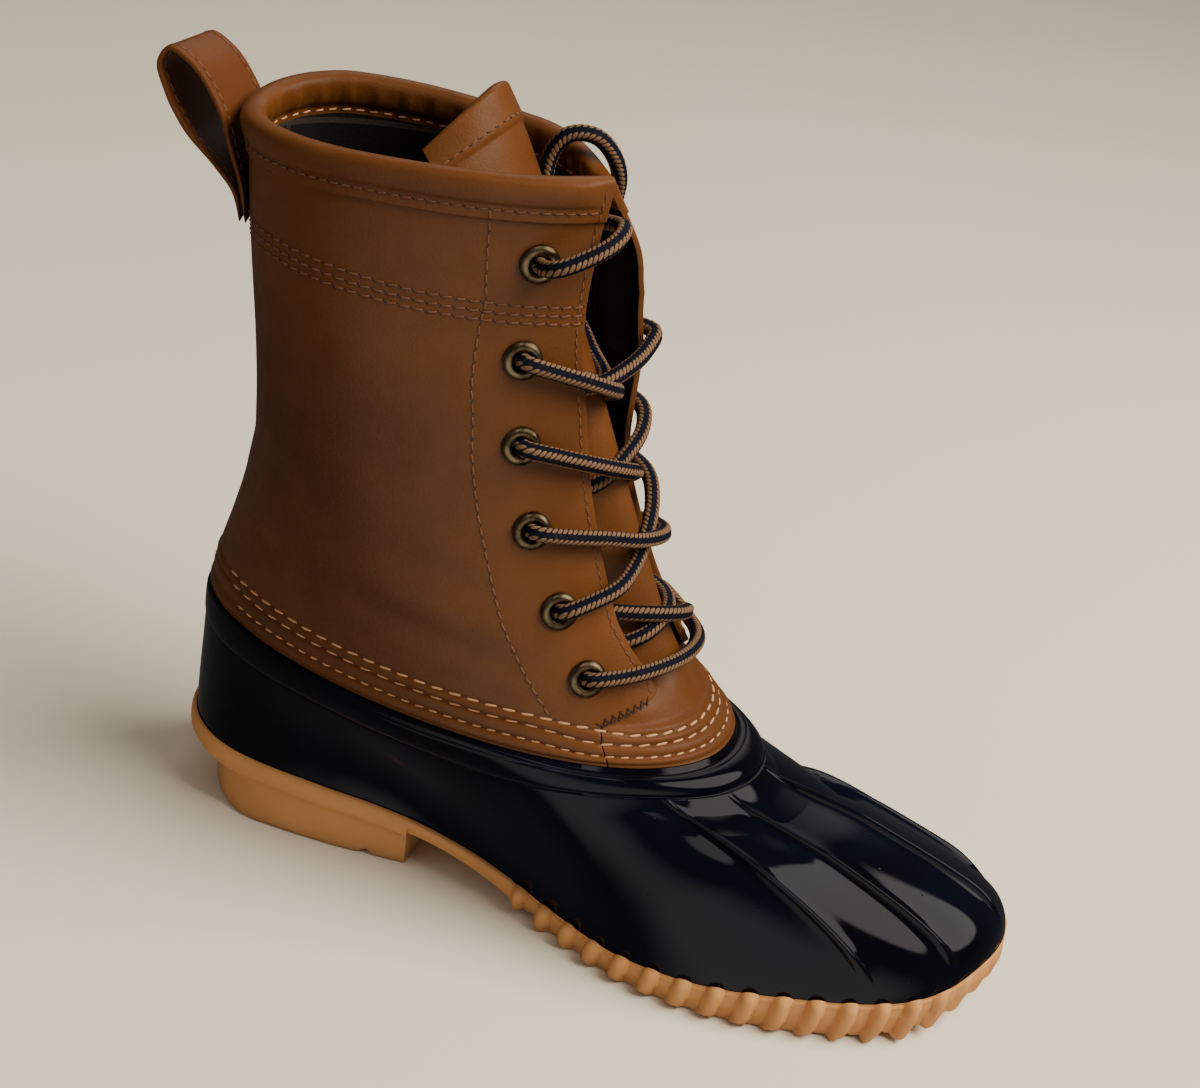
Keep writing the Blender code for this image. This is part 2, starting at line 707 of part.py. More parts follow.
def shaft_levels():
    """Rows of the shaft: two around each eyelet, more at its foot and collar."""
    levels = [0.0, 0.35, 0.75]
    for eyelet in reversed(EYELETS):
        half = cell_share(eyelet.level)
        levels += [eyelet.level - half, eyelet.level + half]
    per_mm = 1.0 / ring_rise(6.9)
    top = TOP_LEVEL
    levels += [top - (COLLAR_HEIGHT + 1.0) * per_mm, top - COLLAR_HEIGHT * per_mm,
               top - 0.5 * COLLAR_HEIGHT * per_mm, top - 1.5 * per_mm, top]
    return levels


def ring_rise(level):
    """Millimetres that one level rises at the flap."""
    angle = angle_at(level, setback(level))
    low, high = max(level - 0.05, 0.0), min(level + 0.05, TOP_LEVEL)
    rise = ring_point(np.array(high), angle) - ring_point(np.array(low), angle)
    return np.linalg.norm(rise) / (high - low)


def setback(level):
    """Distance from the flap's edge to the row of eyelets."""
    rows = EYELETS[::-1]
    return np.interp(level, [row.level for row in rows], [row.setback for row in rows])


def cell_share(level):
    """Half of an eyelet cell's height, in levels."""
    return 0.5 * HOLE_CELL / ring_rise(level)


def collar_shape(level):
    """Thickness added by the padded collar roll, 0 to 1, and the pull-in of its top."""
    below = (TOP_LEVEL - level) * ring_rise(6.9)
    roll = 1.0 - step_up(below, COLLAR_HEIGHT - 0.5, COLLAR_HEIGHT + 0.5)
    rounded = 1.0 - step_up(below, 0.0, 2.0)
    return roll, rounded


def shaft_vertex(sheet, level, angle, raised):
    """Add one vertex of the shaft's wall."""
    base = ring_point(np.array(level), np.array(angle))
    normal = ring_normal(np.array(level), np.array(angle))
    roll, rounded = collar_shape(level)
    out = raised + roll * COLLAR_RAISE - rounded * 1.6
    into = LEATHER + roll * COLLAR_PAD - rounded * 1.4
    return sheet.vertex(base + normal * out, base - normal * into)


def build_shaft(finish):
    """Leather shaft: one hollow wall with its throat, flaps, eyelet holes and collar."""
    sheet = Sheet()
    half_cell = 0.5 * HOLE_CELL
    spread = 11
    rows = []
    for level in shaft_levels():
        girth = half_girth(level)
        row_at = setback(level)
        away = [0.0, row_at - half_cell, row_at + half_cell, row_at + 18.0]
        away += [away[-1] + (girth - away[-1]) * k / spread for k in range(1, spread + 1)]
        one_side = [angle_at(level, distance) for distance in away]
        angles = one_side + [2 * math.pi - angle for angle in reversed(one_side[:-1])]
        row = [shaft_vertex(sheet, level, angle, 0.0) for angle in angles]
        rows.append((level, angles, row))
    for (_, _, low), (_, _, high) in zip(rows, rows[1:]):
        for k in range(len(low) - 1):
            sheet.cells.append((low[k], low[k + 1], high[k + 1], high[k]))
    cut_eyelet_holes(sheet, rows)
    close_front(sheet, rows)
    return sheet.build("leather_shaft", finish)


def cut_eyelet_holes(sheet, rows):
    """Replace the cell at each eyelet by a frame around an octagonal hole."""
    for number in range(len(EYELETS)):
        low_row = 3 + 2 * number
        for first in (1, len(rows[0][2]) - 3):
            low, high = rows[low_row][2], rows[low_row + 1][2]
            cell = (low[first], low[first + 1], high[first + 1], high[first])
            sheet.cells.remove(cell)
            frame_hole(sheet, cell)


def frame_hole(sheet, cell):
    """Fill a four-sided cell around an octagonal hole."""
    hole = []
    skins = [np.array([skin[v] for v in cell]) for skin in (sheet.outer, sheet.inner)]
    middle = [skin.mean(axis=0) for skin in skins]
    for k in range(8):
        turn = math.radians(22.5 + 45.0 * k)
        places = []
        for skin, centre in zip(skins, middle):
            right = unit(skin[1] + skin[2] - skin[0] - skin[3])
            up = skin[2] + skin[3] - skin[0] - skin[1]
            up = unit(up - right * (up @ right))
            places.append(centre - HOLE_RADIUS * (math.cos(turn) * right + math.sin(turn) * up))
        hole.append(sheet.vertex(*places))
    for side in range(4):
        a, b = cell[side], cell[(side + 1) % 4]
        first, second = hole[2 * side], hole[(2 * side + 1) % 8]
        sheet.cells.append((a, b, second, first))
        sheet.cells.append((b, hole[(2 * side + 2) % 8], second))


def close_front(sheet, rows):
    """Close the vamp leather across the front below the throat, under the flaps."""
    across = []
    for level, angles, row in rows:
        if level > THROAT_FOOT + 0.3:
            break
        start = angles[0]
        inside = [start * share for share in (0.9, 0.45, 0.0, -0.45, -0.9)]
        middle = [shaft_vertex(sheet, level, angle, -FLAP_RAISE) for angle in inside]
        across.append([row[-1]] + middle[::-1] + [row[0]])
    for low, high in zip(across, across[1:]):
        for k in range(len(low) - 1):
            sheet.cells.append((low[k], low[k + 1], high[k + 1], high[k]))


# ---------------------------------------------------------------- tongue
def tongue_point(row_at, aside):
    """Read the tongue's front; aside runs from -1 to 1."""
    x, z, half, bend, arch = smooth([tuple(row) for row in TONGUE], row_at)
    return np.array([x - bend * aside ** 2, half * aside, z - arch * aside ** 2])


def build_tongue(finish):
    """Leather tongue behind the throat."""
    sheet = Sheet()
    rows_at = np.linspace(0, len(TONGUE) - 1, 14)
    asides = np.linspace(-1, 1, 7)
    rows = []
    for at in rows_at:
        row = []
        for aside in asides:
            low, high = max(at - 0.05, 0.0), min(at + 0.05, len(TONGUE) - 1.0)
            up = tongue_point(high, aside) - tongue_point(low, aside)
            wide = tongue_point(at, aside + 0.05) - tongue_point(at, aside - 0.05)
            normal = unit(np.cross(wide, up))
            place = tongue_point(at, aside)
            row.append(sheet.vertex(place, place - normal * TONGUE_THICK))
        rows.append(row)
    for low, high in zip(rows, rows[1:]):
        for k in range(len(low) - 1):
            sheet.cells.append((low[k], low[k + 1], high[k + 1], high[k]))
    return sheet.build("tongue", finish)


# ---------------------------------------------------------------- pull loop
def build_loop(finish):
    """Folded strap on the back of the collar, its sewn ends bent round the shaft."""
    line = route([tuple(point) for point in LOOP], 17)
    along = unit(np.gradient(line, axis=0))
    normal = np.stack([along[:, 1], -along[:, 0]], axis=-1)
    sheet = Sheet()
    rows = []
    for (x, z), (nx, nz) in zip(line, normal):
        row = []
        for aside in np.linspace(-0.5, 0.5, 4) * LOOP_WIDTH:
            wrap = aside ** 2 / (2 * LOOP_WRAP) * (1.0 - step_up(z, LOOP_FREE - 16, LOOP_FREE))
            middle = np.array([x + wrap, LOOP_MIDDLE + aside, z])
            half = 0.5 * LOOP_THICK * np.array([nx, 0.0, nz])
            row.append(sheet.vertex(middle + half, middle - half))
        rows.append(row)
    for low, high in zip(rows, rows[1:]):
        for k in range(len(low) - 1):
            sheet.cells.append((low[k], low[k + 1], high[k + 1], high[k]))
    return sheet.build("pull_loop", finish)


# ---------------------------------------------------------------- eyelets
def flap_angle(side, level, distance):
    """Angle at a distance from the flap's edge on the outer or the inner side."""
    angle = angle_at(level, distance)
    return angle if side == OUTER else 2 * math.pi - angle


def eyelet_frame(eyelet, side):
    """Centre of an eyelet's cell, and its axes along the ring, upwards and outwards."""
    half = cell_share(eyelet.level)
    corners, normals = [], []
    for level, distance in ((-half, -0.5), (-half, 0.5), (half, 0.5), (half, -0.5)):
        at = eyelet.level + level
        angle = flap_angle(side, at, setback(at) + distance * HOLE_CELL)
        corners.append(ring_point(np.array(at), np.array(angle)))
        normals.append(ring_normal(np.array(at), np.array(angle)))
    outward = unit(sum(normals))
    right = corners[1] + corners[2] - corners[0] - corners[3]
    right = unit(right - outward * (right @ outward))
    return np.mean(corners, axis=0), right, np.cross(outward, right), outward


def build_eyelet(name, eyelet, side, finish):
    """One eyelet: a tube through the leather with a rounded flange outside."""
    profile = [(EYELET_BORE, -LEATHER - 0.5), (EYELET_BORE, EYELET_HEIGHT - 0.4),
               (EYELET_CROWN, EYELET_HEIGHT), (EYELET_FLANGE, EYELET_LIFT),
               (EYELET_TUBE, EYELET_LIFT), (EYELET_TUBE, -LEATHER - 0.5)]
    centre, right, up, outward = eyelet_frame(eyelet, side)
    count = 8
    points = []
    for radius, height in profile:
        for k in range(count):
            turn = math.radians(22.5) + 2 * math.pi * k / count
            points.append(centre + radius * (math.cos(turn) * right + math.sin(turn) * up)
                          + height * outward)
    faces = []
    for k in range(len(profile)):
        faces += bridge(count * k, count * ((k + 1) % len(profile)), count)
    return make_object(name, points, faces, finish)


# ---------------------------------------------------------------- lace
def strand_points(strand, first_side):
    """Places of a strand for the side where it starts."""
    places = []
    for point in strand:
        side = first_side if point.side == 1 else 1 - first_side
        level = np.array(point.level)
        angle = flap_angle(side, point.level, point.distance) if point.side else 0.0
        angle = np.array(angle)
        places.append(ring_point(level, angle) + ring_normal(level, angle) * point.height)
    return places


def build_strand(name, strand, first_side, finish):
    """One strand of the lace as a closed tube."""
    line = route(strand_points(strand, first_side), LACE_STATIONS)
    along = unit(np.gradient(line, axis=0))
    across = unit(np.cross(along, np.array([0.4, 0.0, 1.0])))
    over = np.cross(along, across)
    points = []
    for place, a, b in zip(line, across, over):
        for k in range(LACE_SIDES):
            turn = 2 * math.pi * k / LACE_SIDES
            points.append(place + LACE_RADIUS * (math.cos(turn) * a + math.sin(turn) * b))
    faces = [tuple(range(LACE_SIDES)),
             tuple(reversed(range(len(points) - LACE_SIDES, len(points))))]
    for k in range(len(line) - 1):
        faces += bridge(LACE_SIDES * k, LACE_SIDES * (k + 1), LACE_SIDES)
    return make_object(name, points, faces, finish)


def build_cross(name, strand, finish):
    """Two mirrored strands joined where they cross."""
    cross = build_strand(name, strand, OUTER, finish)
    other = build_strand(name + "_second", strand, INNER, finish)
    other.hide_render = True
    other.display_type = "WIRE"
    union = cross.modifiers.new("second strand", "BOOLEAN")
    union.operation = "UNION"
    union.solver = "EXACT"
    union.object = other
    return cross


def build_end(name, places, finish):
    """A free end of the lace: a round cord along its own smooth route."""
    line = route(places, 2 * len(places) - 1)
    line = (line - np.array([HEEL_MIDDLE, 0.0, 0.0])) * MM
    curve = bpy.data.curves.new(name, "CURVE")
    curve.dimensions = "3D"
    curve.bevel_depth = LACE_RADIUS * MM
    curve.bevel_resolution = 2
    curve.use_fill_caps = True
    spline = curve.splines.new("POLY")
    spline.points.add(len(line) - 1)
    for point, place in zip(spline.points, line):
        point.co = (*place, 1.0)
    curve.materials.append(finish)
    cord = bpy.data.objects.new(name, curve)
    bpy.context.collection.objects.link(cord)
    return cord


# ---------------------------------------------------------------- assembly
def main():
    """Clear the scene and build every piece."""
    for old in list(bpy.data.objects):
        bpy.data.objects.remove(old, do_unlink=True)
    gum = material("gum_rubber", (0.62, 0.33, 0.12), 0.55)
    rubber = material("black_rubber", (0.008, 0.009, 0.014), 0.15)
    leather = material("brown_leather", (0.24, 0.085, 0.022), 0.42)
    felt = material("felt", (0.05, 0.045, 0.04), 0.95)
    brass = material("antique_brass", (0.32, 0.24, 0.13), 0.35, metallic=1.0)
    lace = material("lace_cord", (0.45, 0.30, 0.18), 0.8)
    build_outsole(gum)
    build_insole(felt)
    build_shell(rubber)
    build_shaft(leather)
    build_tongue(leather)
    build_loop(leather)
    for number, eyelet in enumerate(EYELETS, start=1):
        build_eyelet(f"eyelet_outer_{number}", eyelet, OUTER, brass)
        build_eyelet(f"eyelet_inner_{number}", eyelet, INNER, brass)
    build_strand("lace_bar", LACE_BAR, OUTER, lace)
    for name, strand in LACE_CROSSES.items():
        build_cross(name, strand, lace)
    for name, places in LACE_ENDS.items():
        build_end(name, places, lace)


main()
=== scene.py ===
"""Looks of a duck boot: gum sole, rubber shell, leather shaft, tongue, lace and pull loop.

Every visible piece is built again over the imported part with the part's own forms, read more
finely, and dressed in procedural finishes.  Forms are in millimetres with x counted from the
back of the sole; a mesh moves to the row frame, in metres, when it is made.
"""

import logging
import math
from dataclasses import dataclass, field
from enum import Enum
from typing import Iterable, NamedTuple, Sequence

import bpy
import numpy as np
from mathutils import Matrix, Vector


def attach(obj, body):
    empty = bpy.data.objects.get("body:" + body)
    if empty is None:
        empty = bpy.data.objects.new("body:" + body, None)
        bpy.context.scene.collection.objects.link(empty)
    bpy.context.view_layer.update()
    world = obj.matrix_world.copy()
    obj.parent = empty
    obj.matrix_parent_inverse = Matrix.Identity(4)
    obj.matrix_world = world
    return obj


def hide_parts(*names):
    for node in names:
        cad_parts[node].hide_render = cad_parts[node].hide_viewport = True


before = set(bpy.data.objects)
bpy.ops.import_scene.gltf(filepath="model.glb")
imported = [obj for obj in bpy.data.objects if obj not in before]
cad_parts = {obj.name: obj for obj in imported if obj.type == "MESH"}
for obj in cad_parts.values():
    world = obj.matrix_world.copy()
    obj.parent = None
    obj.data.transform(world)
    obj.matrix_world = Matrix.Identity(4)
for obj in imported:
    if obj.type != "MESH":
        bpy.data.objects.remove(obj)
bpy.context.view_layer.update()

LOG = logging.getLogger("duck_boot")
MM = 0.001
HEEL_MIDDLE = 52.0          # from the back of the sole to the row's origin


class Side(Enum):
    """The two sides of the foot; the value is the sign of y in the row frame."""

    OUTER = -1
    INNER = 1

    @property
    def other(self) -> "Side":
        """The opposite side."""
        return Side(-self.value)


# ------------------------------------------------------------------ small maths
Values = float | np.ndarray
Colour = tuple[float, float, float]


def unit(vectors: np.ndarray) -> np.ndarray:
    """Scale vectors to length one."""
    return vectors / np.maximum(np.linalg.norm(vectors, axis=-1, keepdims=True), 1e-12)


def step_up(value: Values, start: float, end: float) -> Values:
    """Rise smoothly from 0 at start to 1 at end."""
    part = np.clip((np.asarray(value, float) - start) / (end - start), 0.0, 1.0)
    return part * part * (3.0 - 2.0 * part)


def bump(value: Values, middle: float, width: float) -> Values:
    """A soft hump of height 1 around middle."""
    return np.exp(-((np.asarray(value, float) - middle) / width) ** 2)


def smooth(rows: Sequence[Sequence[float]], at: Values, closed: bool = False) -> np.ndarray:
    """Read a smooth curve through the rows of a table.

    Args:
        rows: the table.
        at: fractional row numbers.
        closed: whether the table runs round.

    Returns:
        One row of values for each number in at.
    """
    table = np.asarray(rows, float)
    at = np.asarray(at, float)
    count = len(table)
    first = np.floor(at).astype(int)
    if not closed:
        first = np.clip(first, 0, count - 2)
    part = (at - first)[..., None]

    def row(number: np.ndarray) -> np.ndarray:
        """Read rows by number, round the table or held at its ends."""
        return table[number % count if closed else np.clip(number, 0, count - 1)]

    a, b, c, d = row(first - 1), row(first), row(first + 1), row(first + 2)
    return 0.5 * (2 * b + (c - a) * part + (2 * a - 5 * b + 4 * c - d) * part ** 2
                  + (3 * b - a - 3 * c + d) * part ** 3)


def run_along(points: np.ndarray) -> np.ndarray:
    """Length from the first point of a line to each of its points."""
    return np.concatenate([[0.0], np.cumsum(np.linalg.norm(np.diff(points, axis=0), axis=1))])


def read_between(places: np.ndarray, run: np.ndarray, at: np.ndarray) -> np.ndarray:
    """Read smoothly between unevenly spaced points, or rows of points.

    Args:
        places: the points or rows that are passed.
        run: length along them, for each.
        at: lengths to read at.

    Returns:
        One point or row for each length in at.
    """
    slopes = np.gradient(places, run, axis=0)
    first = np.clip(np.searchsorted(run, at, side="right") - 1, 0, len(run) - 2)
    shape = (-1,) + (1,) * (places.ndim - 1)
    span = (run[first + 1] - run[first]).reshape(shape)
    t = (at - run[first]).reshape(shape) / span
    return (places[first] * (1 + 2 * t) * (1 - t) ** 2 + slopes[first] * span * t * (1 - t) ** 2
            + places[first + 1] * t ** 2 * (3 - 2 * t) - slopes[first + 1] * span * t ** 2 * (1 - t))


def route(places: Sequence[Sequence[float]], count: int) -> np.ndarray:
    """Read a number of even points along a smooth curve through the places."""
    places = np.asarray(places, float)
    run = run_along(places)
    return read_between(places, run, np.linspace(0.0, run[-1], count))


def soft_read(at: Values, table: Sequence[tuple[float, float]], reach: float) -> Values:
    """Read a table of pairs, with its corners softened over the reach on both sides."""
    near = [np.interp(np.asarray(at, float) + share * reach, *zip(*table))
            for share in (-1.0, -0.5, 0.0, 0.5, 1.0)]
    return np.mean(near, axis=0)


def to_row(points: np.ndarray) -> np.ndarray:
    """Move millimetre points to the row frame, in metres."""
    return (np.asarray(points, float) - np.array([HEEL_MIDDLE, 0.0, 0.0])) * MM


def grid_faces(rows: int, columns: int, closed: bool = False, first: int = 0) -> np.ndarray:
    """Make the quads of a grid of points that is stored row by row."""
    across = columns if closed else columns - 1
    i, j = np.meshgrid(np.arange(rows - 1), np.arange(across), indexing="ij")
    a = i * columns + j
    b = i * columns + (j + 1) % columns
    quads = np.stack([a, b, b + columns, a + columns], axis=-1).reshape(-1, 4)
    return quads + first


# ------------------------------------------------------------------ finishes
class Nodes:
    """A short way to write a node tree."""

    def __init__(self, tree: bpy.types.NodeTree) -> None:
        """Start from a tree."""
        self.tree = tree

    def feed(self, socket: bpy.types.NodeSocket, value: object) -> None:
        """Give an input its value or its link; a tuple of three is a colour where four fit."""
        if isinstance(value, bpy.types.NodeSocket):
            self.tree.links.new(value, socket)
        elif isinstance(value, tuple) and socket.type == "RGBA":
            socket.default_value = (*value, 1.0)
        else:
            socket.default_value = value

    def node(self, kind: str, inputs: dict | None = None, **settings: object) -> bpy.types.Node:
        """Add a node, with its settings and the values or links of its inputs."""
        made = self.tree.nodes.new(kind)
        for key, value in settings.items():
            setattr(made, key, value)
        for key, value in (inputs or {}).items():
            self.feed(made.inputs[key], value)
        return made

    def math(self, operation: str, first: object, second: object = 0.0
             ) -> bpy.types.NodeSocket:
        """Add a Math node and return its result."""
        return self.node("ShaderNodeMath", {0: first, 1: second}, operation=operation).outputs[0]

    def times(self, first: object, second: object) -> bpy.types.NodeSocket:
        """Multiply two values."""
        return self.math("MULTIPLY", first, second)


class Shader(Nodes):
    """A short way to write a procedural material."""

    def __init__(self, name: str) -> None:
        """Make a material of that name."""
        self.material = bpy.data.materials.new(name)
        self.material.use_nodes = True
        super().__init__(self.material.node_tree)
        self.principled = self.tree.nodes["Principled BSDF"]

    def position(self) -> bpy.types.NodeSocket:
        """The point's place in the object, in metres."""
        return self.node("ShaderNodeTexCoord").outputs["Object"]

    def uv(self) -> tuple[bpy.types.NodeSocket, bpy.types.NodeSocket]:
        """The two coordinates that a mesh carries in its UV map."""
        place = self.node("ShaderNodeTexCoord").outputs["UV"]
        parts = self.node("ShaderNodeSeparateXYZ", {0: place})
        return parts.outputs[0], parts.outputs[1]

    def noise(self, scale: float, detail: float = 2.0, roughness: float = 0.5
              ) -> bpy.types.NodeSocket:
        """Add a noise over the object and return its value."""
        made = self.node("ShaderNodeTexNoise", {"Vector": self.position(), "Scale": scale,
                                                "Detail": detail, "Roughness": roughness})
        return made.outputs[0]

    def cells(self, scale: float, feature: str = "F1") -> bpy.types.NodeSocket:
        """Add a cell texture over the object and return the distance to its points."""
        made = self.node("ShaderNodeTexVoronoi", {"Vector": self.position(), "Scale": scale},
                         feature=feature)
        return made.outputs["Distance"]

    def ramp(self, value: bpy.types.NodeSocket, stops: Sequence[tuple[float, Sequence[float]]]
             ) -> bpy.types.NodeSocket:
        """Map a value to colours.

        Args:
            value: the value, 0 to 1.
            stops: pairs of a place and a colour of three numbers.

        Returns:
            The colour socket.
        """
        made = self.node("ShaderNodeValToRGB", {0: value})
        points = made.color_ramp.elements
        while len(points) < len(stops):
            points.new(0.5)
        for point, (place, colour) in zip(points, stops):
            point.position = place
            point.color = (*colour, 1.0)
        return made.outputs[0]

    def span(self, value: bpy.types.NodeSocket, low: float, high: float,
             to_low: float = 0.0, to_high: float = 1.0) -> bpy.types.NodeSocket:
        """Map a value from one range to another, clamped."""
        made = self.node("ShaderNodeMapRange", {0: value, 1: low, 2: high, 3: to_low, 4: to_high})
        return made.outputs[0]

    def mix(self, share: object, first: object, second: object) -> bpy.types.NodeSocket:
        """Mix two colours and return the result."""
        return self.node("ShaderNodeMix", {0: share, 6: first, 7: second},
                         data_type="RGBA").outputs[2]

    def relief(self, height: bpy.types.NodeSocket, depth: float, strength: float = 1.0,
               below: bpy.types.NodeSocket | None = None) -> bpy.types.NodeSocket:
        """Turn a height, 0 to 1, into a bumped normal; depth is in metres."""
        inputs = {"Height": height, "Distance": depth, "Strength": strength}
        if below is not None:
            inputs["Normal"] = below
        return self.node("ShaderNodeBump", inputs).outputs[0]

    def set(self, **values: object) -> "Shader":
        """Set or link inputs of the Principled shader, named with underscores."""
        for key, value in values.items():
            self.feed(self.principled.inputs[key.replace("_", " ")], value)
        return self


@dataclass(frozen=True)
class LeatherFinish:
    """Smooth brown leather with a low sheen and a fine grain."""

    name: str
    light: Colour = (0.122, 0.0405, 0.0088)
    dark: Colour = (0.068, 0.0205, 0.0040)
    roughness: float = 0.40

    def make(self) -> bpy.types.Material:
        """Make the material."""
        s = Shader(self.name)
        tone = s.math("ADD", s.times(s.noise(9.0), 0.8), s.times(s.noise(90.0), 0.2))
        colour = s.ramp(tone, [(0.30, self.dark), (0.62, self.light)])
        speck = s.span(s.cells(900.0), 0.0, 0.35, 0.86, 1.0)
        colour = s.mix(speck, tuple(0.5 * c for c in self.dark), colour)
        grain = s.cells(1250.0, "SMOOTH_F1")
        waves = s.relief(s.noise(45.0, 2.0), 0.0010, 0.18)
        rough = s.span(s.noise(220.0, 2.0), 0.3, 0.7, self.roughness - 0.05, self.roughness + 0.08)
        s.set(Base_Color=colour, Roughness=rough, Specular_IOR_Level=0.30,
              Coat_Weight=0.05, Coat_Roughness=0.28,
              Normal=s.relief(grain, 0.00012, 0.5, waves))
        return s.material


@dataclass(frozen=True)
class RubberFinish:
    """Moulded glossy rubber, black with a blue cast."""

    name: str = "black_rubber"
    black: Colour = (0.0008, 0.0010, 0.0022)
    blue: Colour = (0.0020, 0.0030, 0.0080)

    def make(self) -> bpy.types.Material:
        """Make the material."""
        s = Shader(self.name)
        colour = s.ramp(s.noise(20.0, 2.0), [(0.35, self.black), (0.70, self.blue)])
        rough = s.span(s.noise(35.0, 4.0, 0.6), 0.35, 0.75, 0.035, 0.09)
        wave = s.relief(s.noise(30.0, 1.0), 0.0008, 0.30)
        dust = s.relief(s.span(s.cells(170.0), 0.0, 0.09, 1.0, 0.0), 0.00015, 0.4, wave)
        s.set(Base_Color=colour, Roughness=rough, Specular_IOR_Level=0.34, Normal=dust)
        return s.material


@dataclass(frozen=True)
class GumFinish:
    """Tan gum rubber of the sole, with a matt skin, darker in noisy spots near the floor."""

    name: str = "gum_rubber"
    dark: Colour = (0.46, 0.205, 0.062)
    light: Colour = (0.55, 0.255, 0.082)
    low_darkening: Colour = (0.20, 0.12, 0.06)
    darkening_height: float = 0.006              # metres over the floor

    def make(self) -> bpy.types.Material:
        """Make the material."""
        s = Shader(self.name)
        colour = s.ramp(s.noise(28.0, 3.0), [(0.3, self.dark), (0.7, self.light)])
        height = s.node("ShaderNodeSeparateXYZ", {0: s.position()}).outputs[2]
        # Darker in noisy spots up to a small height over the floor.
        low = s.span(height, 0.0, self.darkening_height, 1.0, 0.0)
        low_darkening = s.times(low, s.noise(160.0, 4.0, 0.6))
        colour = s.mix(s.times(low_darkening, 0.6), colour, self.low_darkening)
        s.set(Base_Color=colour, Roughness=s.span(s.noise(80.0), 0.3, 0.7, 0.42, 0.58),
              Normal=s.relief(s.noise(700.0, 3.0), 0.0001, 0.4))
        return s.material


@dataclass(frozen=True)
class BrassFinish:
    """Antique brass of the eyelets."""

    name: str = "antique_brass"
    dark: Colour = (0.10, 0.070, 0.035)
    light: Colour = (0.34, 0.255, 0.14)

    def make(self) -> bpy.types.Material:
        """Make the material."""
        s = Shader(self.name)
        colour = s.ramp(s.noise(260.0, 3.0), [(0.35, self.dark), (0.65, self.light)])
        s.set(Base_Color=colour, Metallic=1.0,
              Roughness=s.span(s.noise(400.0, 2.0), 0.3, 0.7, 0.22, 0.42))
        return s.material


@dataclass(frozen=True)
class LaceFinish:
    """Braided cord: tan stripes of slanted oval stitches on a navy ground.

    The mesh's UV map gives the length in stitches and the number of stripe pairs round it.
    """

    name: str = "lace_cord"
    tan: Colour = (0.190, 0.105, 0.053)
    navy: Colour = (0.0035, 0.0035, 0.0090)
    fleck: Colour = (0.10, 0.085, 0.075)
    tan_share: float = 0.56
    slant: float = 0.40
    length: float = 2.5                     # shape of a stitch: above 2 leaves gaps between
    power: float = 2.4                      # 2 is an oval; more is squarer

    def make(self) -> bpy.types.Material:
        """Make the material."""
        s = Shader(self.name)
        along, pair = s.uv()
        half = 0.5 * self.tan_share
        across = s.math("DIVIDE", s.math("SUBTRACT", s.math("FRACT", pair), 0.5), half)
        slanted = s.math("FRACT", s.math("ADD", along, s.times(across, self.slant)))
        length = s.times(s.math("SUBTRACT", slanted, 0.5), self.length)
        far = s.math("ADD", s.math("POWER", s.math("ABSOLUTE", across), self.power),
                     s.math("POWER", s.math("ABSOLUTE", length), self.power))
        inside = s.span(far, 0.85, 1.10, 1.0, 0.0)
        shade = tuple(0.5 * c for c in self.tan)
        tan = s.mix(s.times(s.noise(2600.0), 0.5), self.tan, shade)
        flecks = s.span(s.noise(1100.0, 3.0, 0.7), 0.60, 0.72, 0.0, 0.30)
        colour = s.mix(inside, s.mix(flecks, self.navy, self.fleck), tan)
        s.set(Base_Color=colour, Roughness=0.72, Specular_IOR_Level=0.25,
              Normal=s.relief(s.noise(1800.0), 0.0002, 0.5))
        return s.material


@dataclass(frozen=True)
class ThreadFinish:
    """Sewing thread."""

    name: str
    colour: Colour

    def make(self) -> bpy.types.Material:
        """Make the material."""
        s = Shader(self.name)
        dark = tuple(0.6 * c for c in self.colour)
        s.set(Base_Color=s.mix(s.noise(2200.0, 2.0), self.colour, dark), Roughness=0.6,
              Normal=s.relief(s.noise(3500.0, 1.0), 0.0001, 0.5))
        return s.material


@dataclass(frozen=True)
class PlaidFinish:
    """Dark brushed lining with a faint plaid; the UV map is in millimetres."""

    name: str = "plaid_lining"
    ground: Colour = (0.0035, 0.0035, 0.0045)
    repeats: float = 0.036                  # half squares in a millimetre
    # Shares of a half square, strengths and colours of the wide and the narrow stripes.
    stripes: tuple[tuple[float, float, Colour], ...] = (
        (0.35, 0.35, (0.016, 0.011, 0.010)), (0.03, 0.5, (0.050, 0.038, 0.030)))

    def make(self) -> bpy.types.Material:
        """Make the material."""
        s = Shader(self.name)
        colour: object = self.ground
        for place in s.uv():
            swing = s.math("PINGPONG", s.times(place, self.repeats), 1.0)
            for share, strength, stripe in self.stripes:
                inside = s.math("LESS_THAN", swing, share)
                colour = s.mix(s.times(inside, strength), colour, stripe)
        s.set(Base_Color=colour, Roughness=0.95, Specular_IOR_Level=0.1,
              Normal=s.relief(s.noise(1500.0, 3.0), 0.0004, 0.7))
        return s.material


@dataclass(frozen=True)
class FeltFinish:
    """Dark felt of the foot bed."""

    name: str = "felt"
    dark: Colour = (0.022, 0.019, 0.017)
    light: Colour = (0.055, 0.048, 0.042)

    def make(self) -> bpy.types.Material:
        """Make the material."""
        s = Shader(self.name)
        colour = s.ramp(s.noise(900.0, 3.0), [(0.3, self.dark), (0.7, self.light)])
        s.set(Base_Color=colour, Roughness=0.95,
              Normal=s.relief(s.noise(1400.0, 3.0), 0.0004, 0.7))
        return s.material


